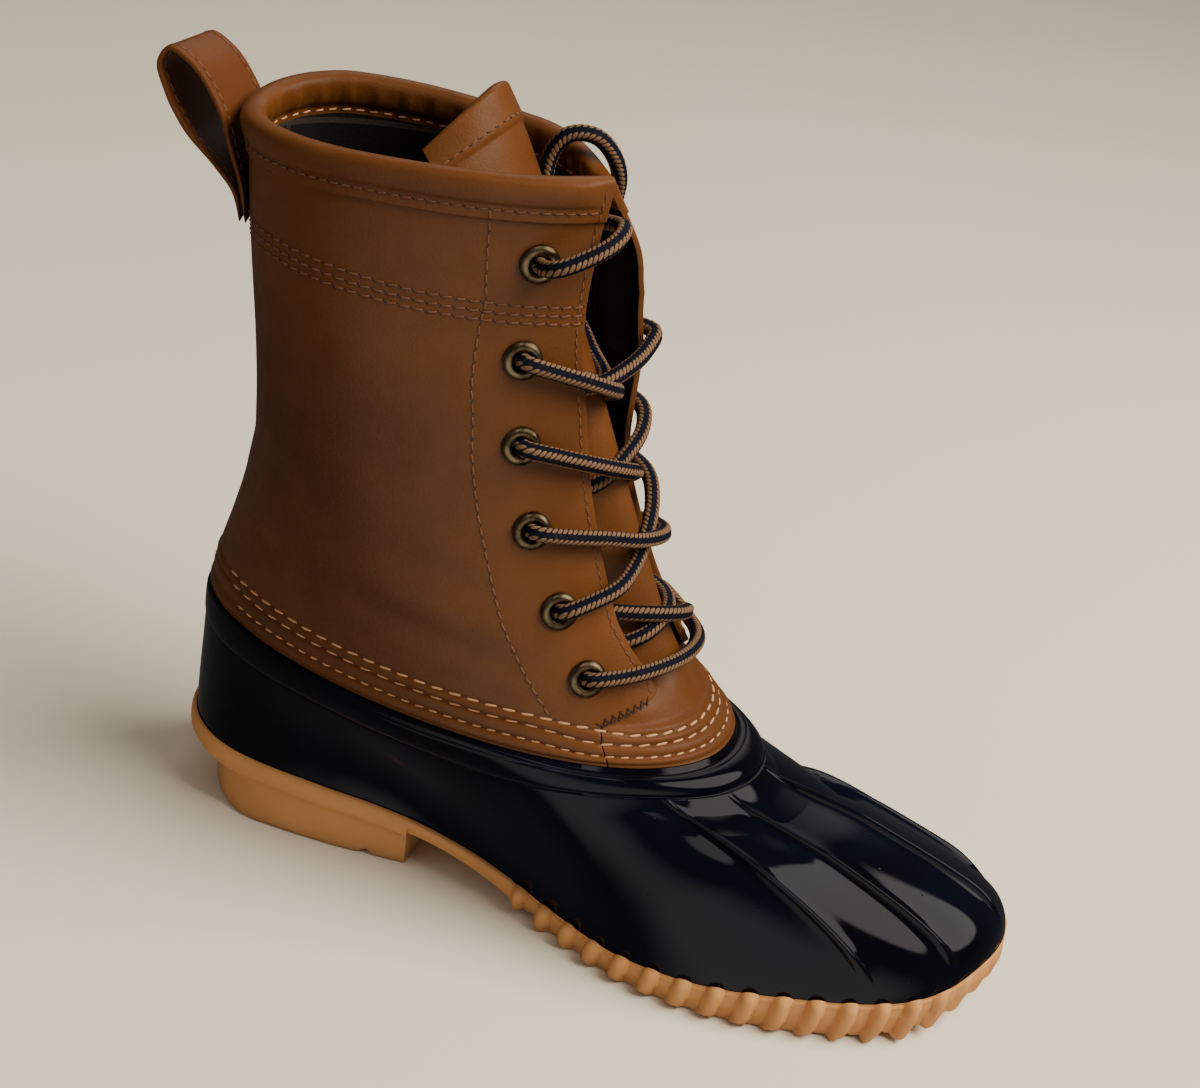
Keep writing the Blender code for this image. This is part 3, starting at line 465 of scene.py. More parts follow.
LEATHER = LeatherFinish("brown_leather")
CUT_EDGE = LeatherFinish("leather_cut_edge", (0.130, 0.042, 0.0100), (0.070, 0.020, 0.0048), 0.62)
STRAP = LeatherFinish("strap_leather", (0.100, 0.030, 0.0065), (0.066, 0.019, 0.0038), 0.48)
BAND_THREAD = ThreadFinish("tan_thread", (0.60, 0.31, 0.155))
SEAM_THREAD = ThreadFinish("brown_thread", (0.175, 0.070, 0.032))
DARK_THREAD = ThreadFinish("dark_thread", (0.036, 0.012, 0.006))
# Painted shade: very dark discs at the stitches' ends stand for the shadowed needle holes.
HOLE_SHADE = ThreadFinish("needle_hole_shade", (0.020, 0.008, 0.004))


# ------------------------------------------------------------------ meshes
def add_object(name: str, data: bpy.types.ID) -> bpy.types.Object:
    """Put a new object in the scene."""
    made = bpy.data.objects.new(name, data)
    bpy.context.scene.collection.objects.link(made)
    return made


class Body:
    """Points, faces, materials and UVs of one piece while it is being built."""

    def __init__(self) -> None:
        """Start with nothing."""
        self.points: list[np.ndarray] = []
        self.faces: list[tuple[int, ...]] = []
        self.slots: list[int] = []
        self.uvs: list[np.ndarray] = []
        self.count = 0

    def add_points(self, points: np.ndarray, uv: np.ndarray | None = None) -> int:
        """Add points and return the number of the first one."""
        first = self.count
        points = np.asarray(points, float).reshape(-1, 3)
        self.points.append(points)
        self.uvs.append(np.zeros((len(points), 2)) if uv is None
                        else np.asarray(uv, float).reshape(-1, 2))
        self.count += len(points)
        return first

    def add_faces(self, faces: Iterable[Sequence[int]], slot: int = 0) -> None:
        """Add faces of one material slot."""
        faces = [tuple(int(v) for v in face) for face in faces]
        self.faces += faces
        self.slots += [slot] * len(faces)

    def finish(self, name: str, materials: Sequence[bpy.types.Material], sharp: float = 60.0
               ) -> bpy.types.Object:
        """Make the object.

        Args:
            name: its name.
            materials: one material for each slot.
            sharp: edges that bend more than this, in degrees, stay sharp.

        Returns:
            The object, in the row frame.
        """
        mesh = bpy.data.meshes.new(name)
        mesh.from_pydata(to_row(np.vstack(self.points)).tolist(), [], self.faces)
        for material in materials:
            mesh.materials.append(material)
        mesh.polygons.foreach_set("material_index", np.array(self.slots, np.int32))
        layer = mesh.uv_layers.new(name="UVMap")
        corner = np.zeros(len(mesh.loops), np.int32)
        mesh.loops.foreach_get("vertex_index", corner)
        layer.data.foreach_set("uv", np.vstack(self.uvs)[corner].astype(np.float32).ravel())
        mesh.shade_smooth()
        mesh.set_sharp_from_angle(angle=math.radians(sharp))
        mesh.update()
        return add_object(name, mesh)


def wall(outer: np.ndarray, inner: np.ndarray, keep: np.ndarray | None = None,
         uv: np.ndarray | None = None, slots: tuple[int, int, int] = (0, 0, 0)) -> Body:
    """Thicken a grid of cells to one closed wall.

    Args:
        outer: places of the outer skin, rows by columns by 3.
        inner: places of the inner skin.
        keep: which cells exist; None keeps all.
        uv: coordinates of the points, rows by columns by 2.
        slots: material slots of the outer skin, the inner skin and the edges.

    Returns:
        The body.
    """
    rows, columns = outer.shape[:2]
    body = Body()
    body.add_points(outer, uv)
    shift = body.add_points(inner, uv)
    quads = grid_faces(rows, columns)
    if keep is not None:
        quads = quads[np.asarray(keep).reshape(-1)]
    body.add_faces(quads, slots[0])
    body.add_faces(quads[:, ::-1] + shift, slots[1])
    ends = np.concatenate([quads[:, [k, (k + 1) % 4]] for k in range(4)])
    used = {tuple(pair) for pair in ends.tolist()}
    rim = [(b, a, a + shift, b + shift) for a, b in used if (b, a) not in used]
    body.add_faces(sorted(rim), slots[2])
    return body


def place_piece(piece: bpy.types.Object, slot: str | None, *nodes: str) -> bpy.types.Object:
    """Let a piece ride on the boot and stand for its nodes."""
    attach(piece, "root")
    if nodes:
        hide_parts(*nodes)
    LOG.info("%s: %d faces", piece.name, len(piece.data.polygons) if piece.type == "MESH" else 0)
    return piece


# ------------------------------------------------------------------ sole outline
class OutlineRow(NamedTuple):
    """A point of the sole's outline, with the shell's side profile above it."""

    x: float
    y: float
    rim_angle: float
    wall: float
    crown: float
    fall: float


class SoleHeight(NamedTuple):
    """Top of the sole's edge and bottom of the thin sole."""

    x: float
    top: float
    bottom: float


OUTLINE = [OutlineRow(*row) for row in (
    (281.0, 8.0, 0, 16, 0.72, 25),
    (270.5, -19.0, 24, 16, 0.68, 24),
    (247.0, -37.5, 46, 16, 0.62, 20),
    (206.0, -49.6, 61, 19, 0.48, 17),
    (171.0, -48.4, 73, 20, 0.38, 15),
    (136.0, -35.8, 86, 20, 0.20, 12),
    (101.0, -30.6, 101, 22, 0.00, 16),
    (64.0, -34.6, 120, 22, 0.00, 16),
    (31.0, -34.4, 142, 20, 0.00, 16),
    (12.0, -24.0, 162, 20, 0.00, 16),
    (3.5, -6.0, 180, 20, 0.00, 16),
    (10.5, 12.5, 198, 20, 0.00, 16),
    (31.0, 23.5, 218, 20, 0.00, 16),
    (64.0, 26.0, 240, 22, 0.00, 16),
    (100.0, 26.0, 259, 24, 0.00, 16),
    (134.0, 31.0, 274, 22, 0.10, 12),
    (168.0, 41.0, 287, 22, 0.22, 18),
    (206.0, 50.0, 300, 15, 0.22, 27),
    (248.0, 48.5, 316, 14, 0.36, 30),
    (274.0, 30.0, 338, 14, 0.54, 28),
)]
RIDGES = (0, 1, 2, 18, 19)
BACK_ROW = 10

SOLE_HEIGHTS = [SoleHeight(*row) for row in (
    (0, 26.0, 14.5),
    (25, 25.4, 14.5),
    (55, 23.8, 14.5),
    (75, 22.2, 14.3),
    (92, 19.4, 13.4),
    (104, 17.0, 11.4),
    (116, 14.9, 8.8),
    (126, 12.8, 6.0),
    (136, 10.6, 2.2),
    (143, 9.4, 0.0),
    (165, 9.4, 0.0),
    (195, 11.2, 0.0),
    (222, 13.8, 0.0),
    (243, 14.8, 0.9),
    (258, 15.6, 2.4),
    (268, 17.6, 5.2),
    (277, 21.0, 9.0),
)]


@dataclass
class SoleForm:
    """The sole's outline and heights, shared by the outsole, the shell and the insole."""

    rand: float = 1.6                       # low wall round the shell's foot
    sides: dict[Side, np.ndarray] = field(init=False)

    def __post_init__(self) -> None:
        """Split the outline at its tips into the two sides, with the length run along each."""
        points, normals = self.outline(np.linspace(0, len(OUTLINE), 4801)[:-1])
        toe, heel = int(np.argmax(points[:, 0])), int(np.argmin(points[:, 0]))
        both = np.roll(np.hstack([points, normals]), -toe, axis=0)
        heel = (heel - toe) % len(both)
        outer = both[:heel + 1][::-1]
        inner = np.vstack([both[heel:], both[:1]])
        self.sides = {}
        for side, table in ((Side.OUTER, outer), (Side.INNER, inner)):
            self.sides[side] = np.column_stack([table, run_along(table[:, :2])])

    @staticmethod
    def outline(rows_at: np.ndarray) -> tuple[np.ndarray, np.ndarray]:
        """Read points of the outline and its outward normals."""
        table = [(row.x, row.y) for row in OUTLINE]
        along = unit(smooth(table, rows_at + 0.01, True) - smooth(table, rows_at - 0.01, True))
        return smooth(table, rows_at, True), np.stack([-along[..., 1], along[..., 0]], axis=-1)

    def edge(self, x: np.ndarray, side: Side, inset: np.ndarray) -> np.ndarray:
        """Read the outline at x on one side, moved inwards by inset."""
        table = self.sides[side]
        x = np.clip(x, table[0, 0], table[-1, 0])
        values = np.stack([np.interp(x, table[:, 0], table[:, k]) for k in range(1, 4)])
        normal = values[1:] / np.linalg.norm(values[1:], axis=0)
        return np.stack([x - inset * normal[0], values[0] - inset * normal[1]], axis=-1)

    def loop(self, stations: np.ndarray, inset: np.ndarray) -> np.ndarray:
        """Read a closed loop inside the outline: out along the outer side and back."""
        inner = self.edge(stations[1:-1], Side.INNER, inset[1:-1])
        return np.vstack([self.edge(stations, Side.OUTER, inset), inner[::-1]])

    def run(self, x: Values, side: Side) -> Values:
        """Length along the edge from the heel's tip to x."""
        table = self.sides[side]
        return np.interp(x, table[:, 0], table[:, 4])

    @staticmethod
    def heights(x: np.ndarray) -> tuple[np.ndarray, np.ndarray]:
        """Read the sole's top and bottom heights at x."""
        places = [row.x for row in SOLE_HEIGHTS]
        at = np.interp(x, places, np.arange(len(places)))
        values = smooth([(row.top, row.bottom) for row in SOLE_HEIGHTS], at)
        return values[..., 0], np.maximum(values[..., 1], 0.0)

    def stations(self, spacing: float) -> np.ndarray:
        """Place stations along the sole, closer at its rounded tips."""
        start, end = self.sides[Side.OUTER][0, 0], self.sides[Side.OUTER][-1, 0]
        turn = np.radians(np.linspace(0.0, 84.0, 26))
        heel = start + 20.0 * (1.0 - np.cos(turn))
        toe = end - 15.0 * (1.0 - np.cos(turn))
        middle = np.arange(heel[-1] + spacing, toe[-1] - spacing / 2, spacing)
        return np.concatenate([heel, middle, toe[::-1]])


SOLE = SoleForm()


def cap(body: Body, loop: np.ndarray, first: int, flip: bool, across: int = 15) -> None:
    """Close a loop round the sole with rows across; first is the number of its first point."""
    around = len(loop)
    count = around // 2 + 1
    share = np.linspace(0, 1, across)[1:-1]
    rows = [loop[k] + (loop[around - k] - loop[k]) * share[:, None] for k in range(1, count - 1)]
    inner = np.array(rows)
    start = body.add_points(inner)
    grid = np.full((count, across), first)
    grid[1:-1, 1:-1] = start + np.arange((count - 2) * (across - 2)).reshape(count - 2, -1)
    grid[:, 0] = first + np.arange(count)
    grid[1:-1, -1] = first + (around - np.arange(1, count - 1))
    grid[-1, :] = first + count - 1
    for k in range(count - 1):
        for j in range(across - 1):
            corners = (grid[k, j], grid[k, j + 1], grid[k + 1, j + 1], grid[k + 1, j])
            face = list(dict.fromkeys(corners))
            if len(face) > 2:
                body.add_faces([face[::-1] if flip else face])


def stack(loops: Sequence[np.ndarray]) -> Body:
    """Join loops round the sole, from the bottom up, to a closed body."""
    body = Body()
    around = len(loops[0])
    body.add_points(np.array(loops))
    body.add_faces(grid_faces(len(loops), around, closed=True)[:, ::-1])
    cap(body, loops[0], 0, flip=False)
    cap(body, loops[-1], around * (len(loops) - 1), flip=True)
    return body


@dataclass
class Outsole:
    """Gum sole: heel block under a flange, thin arch, and a twisted rope of ribs in front."""

    pitch: float = 10.2
    first_rib: float = 134.0
    last_rib: float = 270.0
    rib_depth: float = 3.0
    rib_half: float = 0.27                  # half width of a rib, in pitches
    wave: float = 1.0
    twist: float = 0.09                     # slant of the ribs, in pitches for each level
    flange: float = 8.0                     # height of the step round the heel block
    arch: float = 0.7                       # share of the thin sole that is below its step
    breast: float = 92.0                    # front of the heel block
    foot_round: float = 1.4
    block_tuck: float = 9.0                 # how far the block's back slants inwards
    lip_round: float = 0.9
    bulge: float = 0.6
    lug_depth: float = 1.8
    seat: float = 1.0                       # width of the lip round the shell's foot
    spacing: float = 0.85
    levels: tuple[float, ...] = (0.0, 0.03, 0.08, 0.15, 0.25, 0.4, 0.55, 0.7, 0.85, 0.97, 1.0,
                                 1.02, 1.08, 1.16, 1.25, 1.35, 1.45, 1.55, 1.65, 1.74, 1.82, 1.88,
                                 1.93, 1.97, 2.0)

    def ribs(self, x: np.ndarray, side: Side, turn: float) -> np.ndarray:
        """Height of the half-round ribs, 0 to 1; turn slants them from row to row."""
        run = SOLE.run(x, side) - SOLE.run(self.first_rib, side)
        phase = (run / self.pitch + turn + 0.5) % 1.0 - 0.5
        round_rib = np.sqrt(np.clip(1.0 - (phase / self.rib_half) ** 2, 0.0, 1.0))
        shown = step_up(x, self.first_rib - 5, self.first_rib - 1)
        front = 1.0 - 0.75 * step_up(x, self.last_rib - 12, self.last_rib + 8)
        return round_rib * shown * front

    def grooves(self, x: np.ndarray) -> np.ndarray:
        """Depth of the grooves across the tread."""
        turn = 2 * math.pi * (x - self.first_rib) / self.pitch
        shown = step_up(x, self.first_rib - 1, self.first_rib + 1) * (1.0 - step_up(x, 258, 264))
        front = np.clip(-np.cos(turn) * 1.6, 0.0, 1.0) * shown
        heel = np.maximum(bump(x, 24, 1.6), bump(x, 79, 1.6))
        return self.lug_depth * np.maximum(front, heel)

    def rail(self, stations: np.ndarray, side: Side, level: float) -> np.ndarray:
        """Read one rail of the side wall.

        Args:
            stations: places along the sole.
            side: which side.
            level: 0 to 1 runs up the lower part, 1 to 2 up the upper part to the lip.

        Returns:
            Points of the rail.
        """
        x = stations
        top, thin = SOLE.heights(x)
        heel = (x < self.breast).astype(float)
        flange = top - self.flange * heel - (top - thin) * self.arch * (1 - heel)
        base = thin * (1 - heel)
        rib = self.ribs(x, side, 0.26 - self.twist * level)
        body = step_up(x, self.first_rib - 6, self.first_rib)
        if level <= 1.0:
            turned = 1.0 - math.sqrt(1.0 - (1.0 - min(level / 0.22, 1.0)) ** 2)
            block = (1.2 + self.block_tuck * (1 - step_up(x, 0, 40))) * heel
            inset = self.foot_round * turned + block + self.bulge * (1.0 - level) * (1.0 - heel)
            z = base + level * (flange - base) + self.grooves(x) * (1.0 - level)
        else:
            share = level - 1.0
            lip = 1.0 - math.sqrt(max(0.0, 1.0 - (max(share - 0.82, 0.0) / 0.18) ** 2))
            bulge = self.bulge * math.sin(math.pi * min(share, 1.0))
            inset = np.full_like(x, self.lip_round * lip) - bulge
            inset = inset + 0.5 * bump(share, 0.0, 0.12) * heel
            z = flange + share * (top - flange)
        fade = 1.0 - step_up(level, 1.75, 2.0) * 0.6
        inset = inset - (self.rib_depth * rib - 0.35 * self.rib_depth * body) * fade
        z = z + self.wave * (2 * rib - 1) * body * step_up(level, 1.2, 2.0)
        z = z - 0.9 * rib * (1.0 - step_up(level, 0.0, 0.35)) * (thin > 0.4)
        return np.column_stack([SOLE.edge(x, side, inset), np.maximum(z, 0.0)])

    def build(self, finish: bpy.types.Material) -> bpy.types.Object:
        """Build and dress the outsole."""
        breast = self.breast + np.array([-0.02, 0.02])
        stations = np.sort(np.append(SOLE.stations(self.spacing), breast))
        loops = []
        for level in self.levels:
            outer = self.rail(stations, Side.OUTER, level)
            inner = self.rail(stations[1:-1], Side.INNER, level)
            loops.append(np.vstack([outer, inner[::-1]]))
        seat = SOLE.loop(stations, np.full(len(stations), self.seat))
        seat_top, _ = SOLE.heights(seat[:, 0])
        for drop in (0.3, SOLE.rand):
            loops.append(np.column_stack([seat, seat_top - drop]))
        piece = stack(loops).finish("outsole_gum", [finish], 40)
        return place_piece(piece, "gum_rubber", "outsole")


@dataclass
class Insole:
    """Felt foot bed."""

    thick: float = 4.0
    inset: float = 5.6

    def build(self, finish: bpy.types.Material) -> bpy.types.Object:
        """Build and dress the insole."""
        stations = SOLE.stations(3.0)
        loops = []
        for raised, more in ((0.6, 0.0), (self.thick - 1.0, 0.0), (self.thick - 0.2, 0.5),
                             (self.thick, 1.4)):
            plan = SOLE.loop(stations, np.full(len(stations), self.inset + more))
            top, _ = SOLE.heights(plan[:, 0])
            loops.append(np.column_stack([plan, top - SOLE.rand + raised]))
        piece = stack(loops).finish("insole_felt", [finish], 40)
        return place_piece(piece, "felt", "insole")


# ------------------------------------------------------------------ shaft surface
class Ring(NamedTuple):
    """A ring of the shaft; it leans from its back point to its front point."""

    back_x: float
    back_y: float
    back_z: float
    front_x: float
    front_z: float
    widest: float
    half: float
    sag: float
    power: float
    skew: float
    tilt: float


RINGS = [Ring(*row) for row in (
    (8.5, -9.0, 75.5, 182.5, 67.0, 105, 42.0, 2.0, 2.2, 0.0, 0.0),
    (11.0, -9.0, 90.0, 171.0, 78.0, 98, 42.0, 1.5, 2.2, 0.0, 0.0),
    (15.0, -9.0, 104.5, 158.5, 94.0, 90, 42.5, 0.5, 2.2, 0.0, 0.0),
    (19.0, -9.0, 122.0, 146.0, 115.5, 80, 42.0, 0.0, 2.2, 0.0, 0.0),
    (21.0, -9.0, 143.0, 136.5, 140.0, 70, 41.5, 0.0, 2.05, 0.0, 0.0),
    (19.5, -9.0, 166.5, 129.0, 166.5, 64, 41.0, 0.0, 2.0, 0.0, 0.0),
    (15.0, -9.0, 197.0, 124.0, 196.5, 60, 38.5, 0.0, 2.0, 1.0, 0.5),
    (10.5, -9.0, 234.5, 124.0, 234.0, 58, 35.5, 0.0, 2.4, 3.0, 1.5),
)]
THROAT = [(0.0, 24.0), (1.0, 23.0), (2.0, 21.0), (3.5, 18.0), (5.0, 16.0), (7.0, 15.5)]
EYELETS = [(6.35, 17.0), (5.59, 19.5), (4.74, 22.0), (3.77, 22.0), (2.79, 18.5), (1.83, 15.5)]


@dataclass
class ShaftForm:
    """The shaft's outer form; level counts the rings and angle turns from the front."""

    top_level: float = len(RINGS) - 1.0
    lean_reach: float = 18.0
    leather: float = 2.8
    hole_cell: float = 13.0

    def point(self, level: Values, angle: Values) -> np.ndarray:
        """Read points of the form."""
        row = smooth(RINGS, level)
        (back_x, back_y, back_z, front_x, front_z, widest, half, sag, power, skew,
         tilt) = np.moveaxis(row, -1, 0)
        forward, aside = np.cos(angle), np.sin(angle)
        power = np.where(forward >= 0, power, 2.0)
        x = widest + np.where(forward >= 0, front_x - widest, widest - back_x) \
            * np.sign(forward) * np.abs(forward) ** (2.0 / power)
        share = (x - back_x) / (front_x - back_x)
        y = back_y * (1.0 - share) - half * np.sign(aside) * np.abs(aside) ** (2.0 / power)
        lean = (skew * share - 2 * tilt * (1.0 - share)) * np.clip(-y / self.lean_reach, -1, 1)
        z = back_z + (front_z - back_z) * share - sag * aside ** 2 + lean
        return np.stack([x, y, z], axis=-1)

    def normal(self, level: Values, angle: Values) -> np.ndarray:
        """Outward normal of the form."""
        low, high = np.maximum(level - 0.02, 0.0), np.minimum(level + 0.02, self.top_level)
        up = self.point(high, angle) - self.point(low, angle)
        turn = self.point(level, angle + 0.02) - self.point(level, angle - 0.02)
        return unit(np.cross(up, turn))

    def throat_angle(self, level: Values) -> Values:
        """Angle of the lacing flap's edge."""
        half_gap = np.interp(level, [row[0] for row in THROAT], [row[1] for row in THROAT])
        row = smooth([(ring.half, ring.power) for ring in RINGS], level)
        return np.arcsin((half_gap / row[..., 0]) ** (row[..., 1] / 2.0))

    def angle_at(self, level: float, distance: Values) -> Values:
        """Angles at distances along a ring from the flap's edge; negative is in the throat."""
        angles = np.linspace(0.0, math.pi, 361)
        points = self.point(np.full_like(angles, level), angles)
        run = run_along(points)
        start = np.interp(self.throat_angle(level), angles, run)
        return np.interp(start + np.asarray(distance, float), run, angles)

    def half_girth(self, level: float) -> float:
        """Length of the ring from the flap's edge to the middle of the back."""
        angles = np.linspace(self.throat_angle(level), math.pi, 361)
        points = self.point(np.full_like(angles, level), angles)
        return float(np.linalg.norm(np.diff(points, axis=0), axis=1).sum())

    def setback(self, level: float) -> float:
        """Distance from the flap's edge to the row of eyelets."""
        rows = EYELETS[::-1]
        return float(np.interp(level, [row[0] for row in rows], [row[1] for row in rows]))

    def rise(self, level: float) -> float:
        """Millimetres that one level rises at the flap."""
        angle = self.angle_at(level, self.setback(level))
        low, high = max(level - 0.05, 0.0), min(level + 0.05, self.top_level)
        gone = self.point(high, angle) - self.point(low, angle)
        return float(np.linalg.norm(gone)) / (high - low)

    def below_top(self, level: Values) -> Values:
        """Millimetres from the shaft's top edge down to a level near it."""
        return (self.top_level - level) * self.rise(6.9)

    def side_angle(self, side: Side, level: float, distance: Values) -> Values:
        """Angles at distances from the flap's edge on one side."""
        angle = self.angle_at(level, distance)
        return angle if side is Side.OUTER else 2 * math.pi - angle

    def place(self, side: Side, level: float, distance: float, height: float) -> np.ndarray:
        """A point over the leather at a level and a distance from the flap's edge."""
        angle = self.side_angle(side, level, distance)
        return self.point(level, angle) + self.normal(level, angle) * height

    def eyelet_frame(self, level: float, side: Side) -> tuple[np.ndarray, ...]:
        """Centre of an eyelet, and its axes along the ring, upwards and outwards."""
        half = 0.5 * self.hole_cell / self.rise(level)
        corners, normals = [], []
        for up, out in ((-half, -0.5), (-half, 0.5), (half, 0.5), (half, -0.5)):
            at = level + up
            angle = self.side_angle(side, at, self.setback(at) + out * self.hole_cell)
            corners.append(self.point(at, angle))
            normals.append(self.normal(at, angle))
        outward = unit(sum(normals))
        right = corners[1] + corners[2] - corners[0] - corners[3]
        right = unit(right - outward * (right @ outward))
        return np.mean(corners, axis=0), right, np.cross(outward, right), outward


SHAFT = ShaftForm()


# ------------------------------------------------------------------ rubber shell
@dataclass
class RubberShell:
    """Moulded shell: vamp with fanning ridges, rounded rim, low walls round the heel."""

    wall: float = 2.0
    inset: float = 1.2
    rows: int = 46                          # rows of points below the rim
    rim_from: float = 13.5                  # where the rim's own rows start, below its edge
    near_rim: float = 0.03                  # share of the side that is measured at the rim
    rim_band: float = 10.6                  # round band at the top edge
    rim_raise: float = 1.7
    hollow: float = 2.4                     # dip of the vamp under the band
    hollow_at: float = 24.0
    instep: float = 6.5                     # deeper dip of the inner side
    instep_at: float = 30.0
    instep_turn: float = 316.0
    swell: float = 0.8
    bead: float = 1.6
    bead_width: float = 0.058
    lip_level: float = 0.73
    lip_clear: float = 1.0
    lip_wall: float = 1.2
    rim_steps: tuple[float, ...] = (13.2, 12.6, 12.2, 11.9, 11.6, 11.3, 11.0, 10.8, 10.6, 10.5,
                                    10.3, 10.0, 9.5, 8.8, 8.0, 7.0, 6.0, 5.0, 4.2, 3.6, 3.2, 2.9,
                                    2.7, 2.4, 2.1, 1.9, 1.6, 1.2, 0.8, 0.5, 0.3, 0.1, 0.0)

    def rim_angles(self, rows_at: np.ndarray) -> np.ndarray:
        """Angle on the shaft's lowest ring where each column ends."""
        angles = np.array([row.rim_angle for row in OUTLINE] + [360.0, 382.0])
        angles = np.concatenate([[angles[-3] - 360], angles])
        return np.radians(smooth(angles[:, None], rows_at + 1)[..., 0])

    def profile(self, rows_at: np.ndarray, share: np.ndarray) -> np.ndarray:
        """Read the shell's outer side; share runs from 0 at the sole to 1 at the rim."""
        table = np.asarray(OUTLINE)[:, 2:]
        inside = rows_at % len(OUTLINE)
        turned = np.vstack([table[-1:], table, table[:2]])
        turned[0, 0] -= 360
        turned[-2:, 0] += 360
        values = smooth(turned, inside + 1)
        rim_angle, rise, crown, fall = np.moveaxis(values, -1, 0)
        rim_angle = np.radians(rim_angle)
        foot, normal = SoleForm.outline(rows_at)
        foot = foot - self.inset * normal
        top, _ = SOLE.heights(foot[..., 0])
        start = np.concatenate([foot, (top - SOLE.rand + 0.6)[..., None]], axis=-1)
        level = np.zeros_like(rim_angle)
        away = SHAFT.normal(level, rim_angle)
        away[..., 2] = 0
        away = unit(away)
        forward = step_up(np.cos(rim_angle), 0.2, 1.0)
        end = SHAFT.point(level, rim_angle) + away * (1.0 + 0.5 * forward)[..., None]
        end[..., 2] -= 0.6 + 1.4 * forward
        up = np.array([0.0, 0.0, 1.0])
        first = start + up * rise[..., None]
        outward = (start - end) * np.array([1.0, 1.0, 0.0])
        second = end + outward * crown[..., None] - up * fall[..., None]
        t = np.asarray(share, float)[..., None]
        return ((1 - t) ** 3 * start + 3 * (1 - t) ** 2 * t * first
                + 3 * (1 - t) * t ** 2 * second + t ** 3 * end)

    def normal(self, rows_at: np.ndarray, share: np.ndarray) -> np.ndarray:
        """Outward normal of the shell's outer side."""
        low, high = np.maximum(share - 0.01, 0.0), np.minimum(share + 0.01, 1.0)
        up = self.profile(rows_at, high) - self.profile(rows_at, low)
        turn = self.profile(rows_at + 0.02, share) - self.profile(rows_at - 0.02, share)
        return unit(np.cross(up, turn))

    def columns(self) -> np.ndarray:
        """Place the columns: close at the ridges, even elsewhere."""
        even = np.arange(0, len(OUTLINE), 0.06)
        near = np.arange(-0.15, 0.151, 0.0125)
        apart = self._apart(even)
        fine = np.concatenate([row + near for row in RIDGES]) % len(OUTLINE)
        return np.sort(np.concatenate([even[apart > 0.17], fine]))

    @staticmethod
    def _apart(rows_at: np.ndarray) -> np.ndarray:
        """Rows from each column to its nearest ridge."""
        half = BACK_ROW
        gaps = [np.abs((rows_at - row + half) % len(OUTLINE) - half) for row in RIDGES]
        return np.min(gaps, axis=0)

    def ridges(self, rows_at: np.ndarray, share: np.ndarray) -> np.ndarray:
        """Height of the ridges: a thin bead on a broad swell."""
        apart = self._apart(rows_at)
        bead = np.sqrt(np.clip(1.0 - (apart / self.bead_width) ** 2, 0.0, 1.0))
        high = self.swell * np.exp(-(apart / 0.10) ** 2) + self.bead * bead
        return high * step_up(share, 0.12, 0.4)

    def dip(self, columns: np.ndarray, away: np.ndarray) -> np.ndarray:
        """Depth of the vamp's hollow at distances below the rim's edge."""
        angles = self.rim_angles(columns)
        front = step_up(np.cos(angles), 0.1, 0.7)
        under = step_up(away, 4.0, self.hollow_at - 4.0)
        broad = self.hollow * front * under * (1.0 - step_up(away, self.hollow_at, 56.0))
        inner = bump(np.degrees(angles) % 360.0, self.instep_turn, 26.0)
        return broad + self.instep * inner * bump(away, self.instep_at, 20.0)

    def rim(self, away: float, forward: np.ndarray) -> np.ndarray:
        """Height of the rim: a round band over a crisp groove, with a thin line near its edge.

        Args:
            away: millimetres below the rim's edge.
            forward: 0 at the back to 1 in front, where the rim is full.

        Returns:
            The height over the shell, one value for each column.
        """
        half = 0.5 * self.rim_band
        bead = max(0.0, 1.0 - abs((away - half) / half) ** 2.6) ** 0.5
        line, groove = bump(away, 2.4, 0.4), bump(away, self.rim_band + 0.4, 0.55)
        full = 0.25 + 0.75 * forward
        return (self.rim_raise * bead - 0.22 * line - 0.40 * groove) * full

    def build(self, finish: bpy.types.Material) -> bpy.types.Object:
        """Build and dress the shell."""
        columns = self.columns()
        count = len(columns)
        ones = np.ones(count)
        near = self.profile(columns, ones) - self.profile(columns, (1.0 - self.near_rim) * ones)
        per_mm = self.near_rim / np.linalg.norm(near, axis=1)
        forward = step_up(np.cos(self.rim_angles(columns)), -0.9, 0.7)
        low = np.concatenate([[0.0, 0.015], np.linspace(0.03, 0.98, self.rows)])
        steps = [(share * (1.0 - self.rim_from * per_mm), 0.0) for share in low]
        steps += [(1.0 - away * per_mm, self.rim(away, forward)) for away in self.rim_steps]
        loops = []
        for at, rim in steps:
            away = (1.0 - at) / per_mm
            ridge = self.ridges(columns, at) * step_up(away, 9.0, 32.0)
            out = ridge + rim - self.dip(columns, away)
            loops.append(self.profile(columns, at) + self.normal(columns, at) * out[:, None])
        loops += self._inside(columns)
        body = Body()
        body.add_points(np.array(loops))
        body.add_faces(grid_faces(len(loops), count, closed=True))
        last = count * (len(loops) - 1)
        body.add_faces([(last + k, last + (k + 1) % count, (k + 1) % count, k)
                        for k in range(count)])
        piece = body.finish("shell_rubber", [finish], 50)
        return place_piece(piece, "black_rubber", "rubber_shell")

